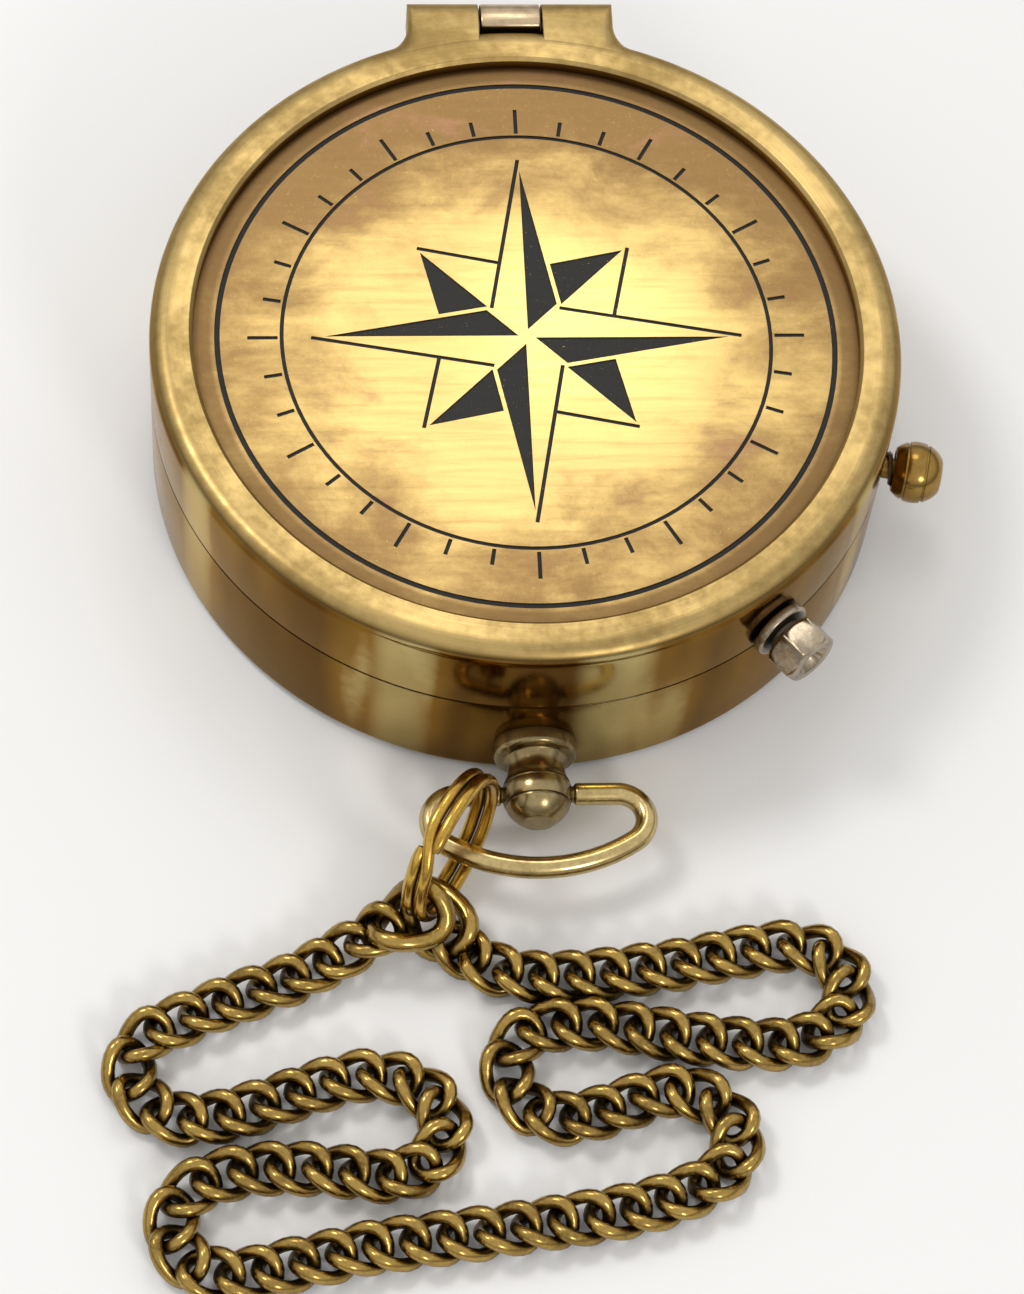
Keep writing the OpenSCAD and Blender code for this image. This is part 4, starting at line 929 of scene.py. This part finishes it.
class COMPASS_OT_bow(bpy.types.Operator):
    """Makes the swinging bow from one bent wire with turned-down ends"""
    bl_idname = "compass.bow"
    bl_label = "Bow"

    def execute(self, context):
        wire, half, corner, turn = sizes().bow_wire / MM, 10.6, 2.8, 147.0
        straight = half - corner
        front = corner + straight / math.sin(math.radians(turn))
        front_y = -corner - (front - corner) * math.cos(math.radians(turn))
        # One half as (x, y, radius): the pivot's thin end, the shoulder, the corner, then the wide front
        side = [(1.9, 0, 0.8), (3.55, 0, 0.8), (3.6, 0, 0.84), (3.66, 0, 0.98), (3.8, 0, wire * 0.98),
                (4.0, 0, wire), (5.5, 0, wire), (straight - 0.6, 0, wire)]
        for i in range(27):
            t = math.radians(turn * i / 26)
            side.append((straight + corner * math.sin(t), corner * (math.cos(t) - 1), wire))
        for i in range(1, 23):
            t = math.radians((180 - turn) * (1 - i / 22))
            side.append((front * math.sin(t), front_y - front * math.cos(t), wire))
        whole = side + [(-x, y, r) for x, y, r in reversed(side[:-1])]
        bm = bmesh.new()
        path = [(x, y + PENDANT_Y, PENDANT_Z) for x, y, _ in whole]
        sweep_tube(bm, path, [r for _, _, r in whole], sides=22)
        place_piece(mesh_object("bow_wire", bm), "bow_loop", "bow_brass", "bow", sharp=50,
                    slot="fitting_bronze")
        return {"FINISHED"}


def ball_profile(centre, radius, low, high, grooves):
    """Profile of a turned ball between two flats, with shallow grooves; places are along its axis."""
    steps, half, depth, slope = 44, 0.15, 0.14, 0.05

    def outside(z):
        return math.sqrt(max(radius ** 2 - z ** 2, 0.0))

    points = []
    for i in range(steps + 1):
        z = low + (high - low) * i / steps
        if not any(abs(z - groove) < half for groove in grooves):
            points.append((outside(z), centre + z))
    for groove in grooves:
        bottom = outside(groove) - depth
        start, end = groove - half, groove + half
        points += [(outside(start), centre + start), (bottom, centre + start + slope),
                   (bottom, centre + end - slope), (outside(end), centre + end)]
    return sorted(points, key=lambda p: p[1])


class COMPASS_OT_pendant(bpy.types.Operator):
    """Makes the pendant: a collar, a neck and a turned ball with a flat end"""
    bl_idname = "compass.pendant"
    bl_label = "Pendant"

    def execute(self, context):
        ball = ball_profile(-PENDANT_Y, 3.45, -1.85, 3.0, (-0.9, 1.2))
        start = rounded([(0, 33.0), (1.6, 33.0, 0.2), (1.6, 36.6), (4.1, 36.9), (4.1, 39.0, 0.55),
                         (3.1, 39.15, 0.2), (2.8, 39.7, 0.3)], closed=False, steps=6)
        end = [(1.62, 45.97), (1.2, 45.98), (0, 45.98)]
        bm = bmesh.new()
        lathe(bm, start + ball + end, steps=72, place=radial(-90, PENDANT_Z))
        place_piece(mesh_object("pendant_turned", bm), "casing", "fitting_bronze", "pendant", sharp=42)
        return {"FINISHED"}


class COMPASS_OT_brake_button(bpy.types.Operator):
    """Makes the brake's ball button with its stem"""
    bl_idname = "compass.brake_button"
    bl_label = "Brake Button"

    def execute(self, context):
        stem = [(0, 32.1), (0.7, 32.1), (0.7, 33.7), (1.1, 33.7), (1.1, 41.3), (1.95, 41.3), (1.95, 38.8)]
        ball = ball_profile(BALL_AT, sizes().ball / MM, -2.2, 2.6, (-1.0, 1.0))
        end = [(1.5, 43.68), (0.9, 43.74), (0, 43.76)]
        bm = bmesh.new()
        lathe(bm, stem + ball + end, steps=64, place=radial(BRAKE_AZ, BRAKE_Z))
        place_piece(mesh_object("button_turned", bm), "brake", "knob_brass", "brake_button", sharp=42)
        return {"FINISHED"}


class COMPASS_OT_adjuster(bpy.types.Operator):
    """Makes the adjuster's bush and its six-sided knob"""
    bl_idname = "compass.adjuster"
    bl_label = "Degree Adjuster"

    def execute(self, context):
        place = radial(ADJUST_AZ, ADJUST_Z)
        bm = bmesh.new()
        lathe(bm, rounded([(1.06, 34.52), (2.1, 34.52), (2.1, 37.7), (3.1, 37.7, 0.15), (3.1, 38.7, 0.3),
                           (1.9, 38.74, 0.1), (1.06, 38.7)]), steps=64, place=place)
        place_piece(mesh_object("adjuster_bush_turned", bm), "casing", "adjuster_bronze", "adjuster_bush",
                    sharp=42, slot="fitting_bronze")
        bm = bmesh.new()
        self.head(bm)
        bmesh.ops.transform(bm, matrix=place, verts=bm.verts)
        stem = [(0, 32.0), (1.0, 32.0), (1.0, 38.8), (1.8, 38.8), (1.8, 39.42), (0, 39.42)]
        lathe(bm, stem, steps=48, place=place)
        place_piece(mesh_object("adjuster_head", bm), "adjuster", "adjuster_bronze", "adjuster_knob",
                    sharp=30, slot="fitting_bronze")
        return {"FINISHED"}

    def head(self, bm):
        """The six-sided head on +Z, its corners turned off towards both ends, with a hollow end."""
        flats, power, angles = sizes().hex_flats / MM, 24, whole_turn(96)
        start, end = 39.4, 42.9
        rings = []
        # Each row: its place on the axis, and the radius to which its corners are turned off
        rows = ((start, 2.62), (start + 0.12, 2.8), (start + 0.32, 3.0), (start + 0.5, 3.5), (end - 0.5, 3.5),
                (end - 0.34, 3.02), (end - 0.16, 2.84), (end - 0.04, 2.66), (end, 2.5))
        for z, limit in rows:
            ring = []
            for a in angles:
                off_flat = (a + math.pi / 6) % (math.pi / 3) - math.pi / 6
                flat = flats / 2 / math.cos(off_flat)
                r = (flat ** -power + limit ** -power) ** (-1 / power)
                ring.append(bm.verts.new((*on_circle(a, r), z)))
            rings.append(ring)
        for r, z in ((1.78, end), (1.7, end - 0.05), (0.85, end - 1.3)):
            rings.append([bm.verts.new((*on_circle(a, r), z)) for a in angles])
        for ring, other in zip(rings, rings[1:]):
            join_rings(bm, ring, other)
        bottom = bm.verts.new((0, 0, end - 1.45))
        for k, point in enumerate(rings[-1]):
            bm.faces.new((point, rings[-1][(k + 1) % len(angles)], bottom))
        bm.faces.new(list(reversed(rings[0])))


class COMPASS_OT_base(bpy.types.Operator):
    """Makes the round base with its centring lip"""
    bl_idname = "compass.base"
    bl_label = "Base"

    def execute(self, context):
        s = sizes()
        edge, floor = s.edge / MM, 1.6
        bm = bmesh.new()
        lathe(bm, rounded([(0, 0), (CASING_R, 0, s.base_round / MM), (CASING_R, BASE_H, edge),
                           (INNER_R, BASE_H, 0.05), (INNER_R, floor), (0, floor)], steps=8), steps=256)
        # The lip that centres the lid leaves room for the hinge
        lip = rounded([(34.55, 13.1), (35.3, 13.1), (35.3, 14.1, 0.12), (34.55, 14.1, 0.12)])
        lathe(bm, lip, steps=200, sweep=(-190, 10))
        place_piece(mesh_object("base_turned", bm), "casing", "case_brass", "base_casing", sharp=35)
        return {"FINISHED"}


class COMPASS_OT_lid(bpy.types.Operator):
    """Makes the lid's ring with its rounded rim, and the two hinge lugs"""
    bl_idname = "compass.lid"
    bl_label = "Lid"

    def execute(self, context):
        s = sizes()
        edge, rim, dome, bevel = s.edge / MM, s.rim_width / MM, s.rim_dome / MM, s.rim_bevel / MM
        inner = CASING_R - rim
        bm = bmesh.new()
        lathe(bm, rounded([(LID_INNER_R, LID_Z, 0.05), (CASING_R, LID_Z, edge),
                           (CASING_R, LID_TOP, s.lid_round / MM), (inner + 2.1, LID_TOP, 1.2),
                           (inner + bevel, LID_TOP - dome, 0.1), (inner, LID_TOP - bevel - dome, 0.05),
                           (inner, LID_LEDGE_Z), (LID_INNER_R, LID_LEDGE_Z)], steps=9), steps=288)
        lid = mesh_object("lid_rim", bm)
        cut(lid, self.knuckle_gap(), self.adjuster_notch())
        bm = bmesh.new()
        for side in (-1, 1):
            self.lug(bm, side)
        lugs = mesh_object("lugs", bm)
        bm = bmesh.new()
        bm.from_mesh(lid.data)
        bm.from_mesh(lugs.data)
        bm.to_mesh(lid.data)
        bm.free()
        bpy.data.objects.remove(lugs)
        place_piece(lid, "lid", "case_brass", "lid_ring", sharp=35)
        return {"FINISHED"}

    def knuckle_gap(self):
        """Room for the base's knuckle between the lugs."""
        room = 2.75
        bm = bmesh.new()
        prism(bm, [on_circle(a, room, HINGE_Y, HINGE_Z) for a in whole_turn(64)], -LUG_X, LUG_X)
        return mesh_object("gap", bm)

    def adjuster_notch(self):
        """Room for the adjuster's bush, open downwards."""
        room, steps, inside, outside, below = 2.25, 32, 33.2, 39.0, LID_Z - 1.0
        arch = [on_circle(math.pi * k / steps, room, 0.0, ADJUST_Z) for k in range(steps + 1)]
        bm = bmesh.new()
        prism(bm, arch + [(-room, below), (room, below)], inside, outside)
        bmesh.ops.rotate(bm, verts=bm.verts, matrix=Matrix.Rotation(math.radians(ADJUST_AZ), 3, "Z"))
        return mesh_object("notch", bm)

    def lug(self, bm, side):
        """One hinge lug: level with the rim, round like the barrel behind, faired into the wall."""
        begin, half, back = LUG_X, HINGE_W / 2, HINGE_Y + HINGE_R
        fillet, corner, chamfer, inside, thinnest, rise = 3.2, 0.9, 0.12, 35.6, 0.02, 0.08
        # Outer edge of the plan: round the corner behind, then along the fillet to the wall
        fx = half + fillet
        fy = math.sqrt((CASING_R + fillet) ** 2 - fx ** 2)
        bend = [on_circle(math.atan2(fy, fx) * i / 18, -fillet, fx, fy) for i in range(19)]
        turn = [(half - corner + corner * math.sin(a), back - corner + corner * math.cos(a))
                for a in (math.radians(90) * i / 8 for i in range(9))]
        edge = [Vector(p) for p in turn + bend]

        def height(x, y):
            """Half the lug's thickness at a place of its plan."""
            spot = Vector((x, y))
            roundness = 0.8 + 1.1 * min(max((38.5 - y) / 3.0, 0.0), 1.0)
            away = min([span(spot, a, b) for a, b in zip(edge, edge[1:])] + [roundness])
            level = HINGE_R - roundness + math.sqrt(roundness ** 2 - (roundness - away) ** 2)
            beside = 1.0 - min((x - begin) / chamfer, 1.0)
            barrel = math.sqrt(max(HINGE_R ** 2 - max(y - HINGE_Y, 0.0) ** 2, 0.0))
            return max(min(level, barrel) - chamfer * (1.0 - math.sqrt(1.0 - beside ** 2)), thinnest)

        # The plan as columns of places, from inside the ring outwards, closer together near its edges
        columns = [begin + chamfer * share for share in (0.0, 0.1, 0.35, 0.7, 1.0, 1.6)]
        columns += [begin + (half - 1.0 - begin) * i / 4 for i in range(1, 5)]
        columns += [half - 0.8 * (1.0 - math.sin(math.radians(10.0 * i))) for i in range(10)]
        rows = [1.0 - (1.0 - j / 14) ** 1.6 for j in range(15)]
        first = (HINGE_Y - fy) / (back - fy)
        behind = [first * 0.9]
        behind += [first + (1.0 - first) * math.sin(math.radians(7.5 * j)) for j in range(13)]
        plan = []
        for x in columns:
            over = max(x - (half - corner), 0.0)
            far = back - corner + math.sqrt(max(corner ** 2 - over ** 2, 0.0))
            near = math.sqrt(inside ** 2 - x ** 2)
            plan.append([(x, near + (fy - near) * share) for share in rows]
                        + [(x, fy + (far - fy) * share) for share in behind])
        for x, y in bend[1:]:
            near = math.sqrt(inside ** 2 - x ** 2)
            plan.append([(x, near + (y - near) * share) for share in rows])
        upper, lower = [], []
        for column in plan:
            high, low = [], []
            for x, y in column:
                thick = height(x, y)
                fuller = rise * min(max((HINGE_Y - y) / 2.0, 0.0), 1.0) * thick / HINGE_R
                high.append(bm.verts.new((side * x, y, HINGE_Z + thick + fuller)))
                low.append(bm.verts.new((side * x, y, HINGE_Z - thick)))
            upper.append(high)
            lower.append(low)
        top = set()
        for skin in (upper, lower):
            for line, other in zip(skin, skin[1:]):
                for k in range(min(len(line), len(other)) - 1):
                    face = bm.faces.new((line[k], line[k + 1], other[k + 1], other[k]))
                    if skin is upper:
                        top.add(face)
        under = {a: b for high, low in zip(upper, lower) for a, b in zip(high, low)}
        for rim in [e for e in bm.edges if len(e.link_faces) == 1 and e.link_faces[0] in top]:
            a, b = rim.verts
            bm.faces.new((a, b, under[b], under[a]))


class COMPASS_OT_hinge(bpy.types.Operator):
    """Makes the hinge's middle knuckle with its foot, and the foot's rivets"""
    bl_idname = "compass.hinge"
    bl_label = "Hinge"

    def execute(self, context):
        inner, outer, foot_z, foot_h, corner = 37.42, 40.5, 3.4, 9.8, 0.16
        # Side view: up the outside of the foot, round the barrel, and down close to the casing
        outline = [(inner, foot_z), (outer, foot_z), (outer, 18.33)]
        outline += [on_circle(math.radians(a), HINGE_R, HINGE_Y, HINGE_Z) for a in range(-52, 122, 6)]
        outline += [(37.76, 22.4), (37.76, 13.25), (inner, BASE_H)]
        bm = bmesh.new()
        prism(bm, outline, -KNUCKLE_W / 2, KNUCKLE_W / 2)
        knuckle = mesh_object("knuckle", bm)
        bevelled(knuckle, corner * MM)
        place_piece(knuckle, "casing", "hinge_bronze", "hinge_knuckle", sharp=40)
        t = Tree("rivet_row", [("Radius", "NodeSocketFloat"), ("Height", "NodeSocketFloat"),
                               ("Material", "NodeSocketMaterial")])
        ball = t.out("GeometryNodeMeshUVSphere", None,
                     {"Segments": 40, "Rings": 24, "Radius": t.value("Radius")})
        flatter = t.maths("DIVIDE", t.value("Height"), t.value("Radius"))
        t.on_points(ball, Scale=t.out("ShaderNodeCombineXYZ", None, {0: 1.0, 1: flatter, 2: 1.0}))
        heights = [foot_z + share * foot_h for share in (0.22, 0.62)]
        row = points_object("foot_rivets", [(0, outer + 0.02, z) for z in heights])
        t.run(row, {"Radius": 1.23 * MM, "Height": 0.6 * MM, "Material": finish("inner_brass")})
        place_piece(row, "casing", "inner_brass", "hinge_rivets", sharp=60)
        return {"FINISHED"}


class COMPASS_OT_lettering(bpy.types.Operator):
    """Prints the four directions on the dial and the degrees on the turning ring"""
    bl_idname = "compass.lettering"
    bl_label = "Dial Lettering"

    def execute(self, context):
        directions = [(letter, 90 - 90 * i) for i, letter in enumerate("NESW")]
        degrees = [(str(degree), 90 - degree) for degree in range(0, 360, 30)]
        self.letters("dial_letters", directions, (22.4, 3.0, 6.405), "casing", "dial_white")
        self.letters("degree_numbers", degrees, (29.15, 1.3, 11.505), "degree_dial", "inner_brass")
        return {"FINISHED"}

    def letters(self, name, words, measures, body, slot):
        """Words at their azimuths on a circle; the measures are its radius, their size and their height."""
        radius, size, height = measures
        bm = bmesh.new()
        for word, azimuth in words:
            text = bpy.data.curves.new("word", "FONT")
            text.body, text.size, text.extrude = word, size, 0.012
            text.align_x, text.align_y = "CENTER", "CENTER"
            holder = linked("word", text)
            mesh = plain_mesh(holder)
            a = math.radians(azimuth)
            mesh.transform(Matrix.Translation((*on_circle(a, radius), height))
                           @ Matrix.Rotation(a - math.pi / 2, 4, "Z"))
            bm.from_mesh(mesh)
            bpy.data.objects.remove(holder)
            bpy.data.meshes.remove(mesh)
            bpy.data.curves.remove(text)
        piece = mesh_object(name, bm)
        piece.data.materials.clear()
        piece.data.materials.append(finish("printed_ink"))
        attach(piece, body)


class COMPASS_OT_finishes(bpy.types.Operator):
    """Gives every node kept from the solids its own finish"""
    bl_idname = "compass.finishes"
    bl_label = "Finishes"

    def execute(self, context):
        looks = {
            "lid_plate": "plate_brass", "dial_plate": "dial_white", "degree_ring": "degree_marks",
            "glass_gasket": "gasket_rubber", "glass": "glass_clear", "needle_blade": "needle_blue",
            "needle_jewel": "jewel",
        }
        looks |= dict.fromkeys(("lid_snap_ring", "hinge_pin", "dial_screws", "pivot_point", "lift_collar",
                                "brake_bar", "brake_nut", "brake_spring", "guide_screws"), "steel")
        looks |= dict.fromkeys(("dial_seat", "bezel_ring", "pivot_post", "needle_hub", "bar_guide",
                                "adjuster_pinion", "adjuster_bridge", "pendant_nut"), "inner_brass")
        slots = {s["node"]: s["material_slot"] for s in frame["record"]["subparts"]}
        for node, piece in frame["nodes"].items():
            look = looks.get(node, slots[node])
            if not piece.material_slots:
                piece.data.materials.append(finish(look))
            for holder in piece.material_slots:
                holder.material = finish(look)
        return {"FINISHED"}


class COMPASS_OT_stage(bpy.types.Operator):
    """Sets the pale floor, the soft lights and the camera"""
    bl_idname = "compass.stage"
    bl_label = "Stage"

    def execute(self, context):
        scene = context.scene
        self.floor()
        self.surround(scene)
        self.lamps()
        self.camera(scene)
        scene.view_settings.view_transform = "Standard"
        return {"FINISHED"}

    def floor(self):
        """A wide pale sheet, a hair below the compass."""
        bm = bmesh.new()
        bmesh.ops.create_grid(bm, x_segments=1, y_segments=1, size=3000.0)
        bmesh.ops.translate(bm, vec=(0, 0, -0.03), verts=bm.verts)
        sheet = mesh_object("floor", bm)
        pale = colours().floor
        f = Finish("floor_paper")
        tone = f.noise(f.place()[0], 0.01, 3.0, 0.5)
        f.done(Base_Color=f.mix(tone * 0.3, pale, shade(pale, 0.97)), Roughness=0.8)
        sheet.data.materials.append(f.material)

    def surround(self, scene):
        """White for the camera and through glass, paler upwards in reflections, and an even light."""
        even_light = 0.64
        world = bpy.data.worlds.new("studio")
        scene.world = world
        world.use_nodes = True
        f = Finish("studio", world.node_tree)
        rays = f.node("ShaderNodeLightPath").outputs
        camera, gloss, clear = (Wire(f, rays[name]) for name in
                                ("Is Camera Ray", "Is Glossy Ray", "Is Transmission Ray"))
        way = f.node("ShaderNodeTexCoord").outputs["Generated"]
        upward = Wire(f, f.node("ShaderNodeSeparateXYZ", None, {0: way}).outputs["Z"])
        walls = f.between(upward, 0.02, 0.5, 0.3, 1.0)
        seen = camera.do("MAXIMUM", clear)
        back = world.node_tree.nodes["Background"].inputs
        f.feed(back["Color"], (1.0, 0.99, 0.975))
        f.feed(back["Strength"],
               even_light * (1.0 - seen.do("MAXIMUM", gloss)) + seen + gloss * walls * (1.0 - seen))

    def lamps(self):
        """Three round lamps: name, place, what it points at, size in millimetres, and power in watts."""
        for name, place, target, size, power in (
                ("key", (-240, 120, 420), (0, 0, 10), 130, 0.6),
                ("top", (18, 235, 420), (0, -5, 20), 160, 0.19),
                ("front", (160, -400, 260), (0, -50, 5), 110, 0.42)):
            lamp = bpy.data.lights.new(name, "AREA")
            lamp.shape, lamp.size, lamp.energy = "DISK", size * MM, power
            lamp.color = (1.0, 0.985, 0.96)
            spot = Vector(place) * MM
            turn = (spot - Vector(target) * MM).to_track_quat("Z", "Y").to_matrix().to_4x4()
            linked(name, lamp).matrix_world = Matrix.Translation(spot) @ turn

    def camera(self, scene):
        """The camera of the photograph; its focal length and the frame's height are in pixels."""
        focal, frame_height, sensor = 3995.8, 1294, 36.0
        place = Vector((-31.105, -218.301, 353.894)) * MM
        pitch, yaw, roll = math.radians(60.88), math.radians(8.70), math.radians(7.00)
        ahead = Vector((math.sin(yaw) * math.cos(pitch), math.cos(yaw) * math.cos(pitch), -math.sin(pitch)))
        right = Vector((math.cos(yaw), -math.sin(yaw), 0))
        up = right.cross(ahead)
        across = right * math.cos(roll) + up * math.sin(roll)
        upward = up * math.cos(roll) - right * math.sin(roll)
        camera = bpy.data.cameras.new("camera")
        camera.sensor_fit, camera.sensor_height = "VERTICAL", sensor
        camera.lens = focal / frame_height * sensor
        camera.clip_start, camera.clip_end = 0.01, 20.0
        scene.camera = linked("camera", camera)
        turn = Matrix((across, upward, -ahead)).transposed().to_4x4()
        scene.camera.matrix_world = Matrix.Translation(place) @ turn


STEPS = (COMPASS_OT_stage, COMPASS_OT_chain, COMPASS_OT_split_ring, COMPASS_OT_bow, COMPASS_OT_pendant,
         COMPASS_OT_base, COMPASS_OT_lid, COMPASS_OT_hinge, COMPASS_OT_brake_button, COMPASS_OT_adjuster,
         COMPASS_OT_finishes, COMPASS_OT_lettering)


class COMPASS_PT_panel(bpy.types.Panel):
    """Lists the steps that make the compass"""
    bl_idname = "COMPASS_PT_panel"
    bl_label = "Pocket Compass"
    bl_space_type = "VIEW_3D"
    bl_region_type = "UI"
    bl_category = "Compass"

    def draw(self, context):
        for step in STEPS:
            self.layout.operator(step.bl_idname)
        for group in GROUPS:
            values = getattr(context.scene, group)
            column = self.layout.column(align=True)
            for key in values.__annotations__:
                column.prop(values, key)


GROUPS = {"compass_sizes": CompassSizes, "compass_chain": ChainSizes, "compass_colours": CompassColours}
CLASSES = (*GROUPS.values(), *STEPS, COMPASS_PT_panel)


def register():
    for item in CLASSES:
        bpy.utils.register_class(item)
    for name, group in GROUPS.items():
        setattr(bpy.types.Scene, name, PointerProperty(type=group))


def unregister():
    for name in GROUPS:
        delattr(bpy.types.Scene, name)
    for item in reversed(CLASSES):
        bpy.utils.unregister_class(item)


def main():
    register()
    for step in STEPS:
        group, name = step.bl_idname.split(".")
        getattr(getattr(bpy.ops, group), name)()


if __name__ == "__main__":
    main()
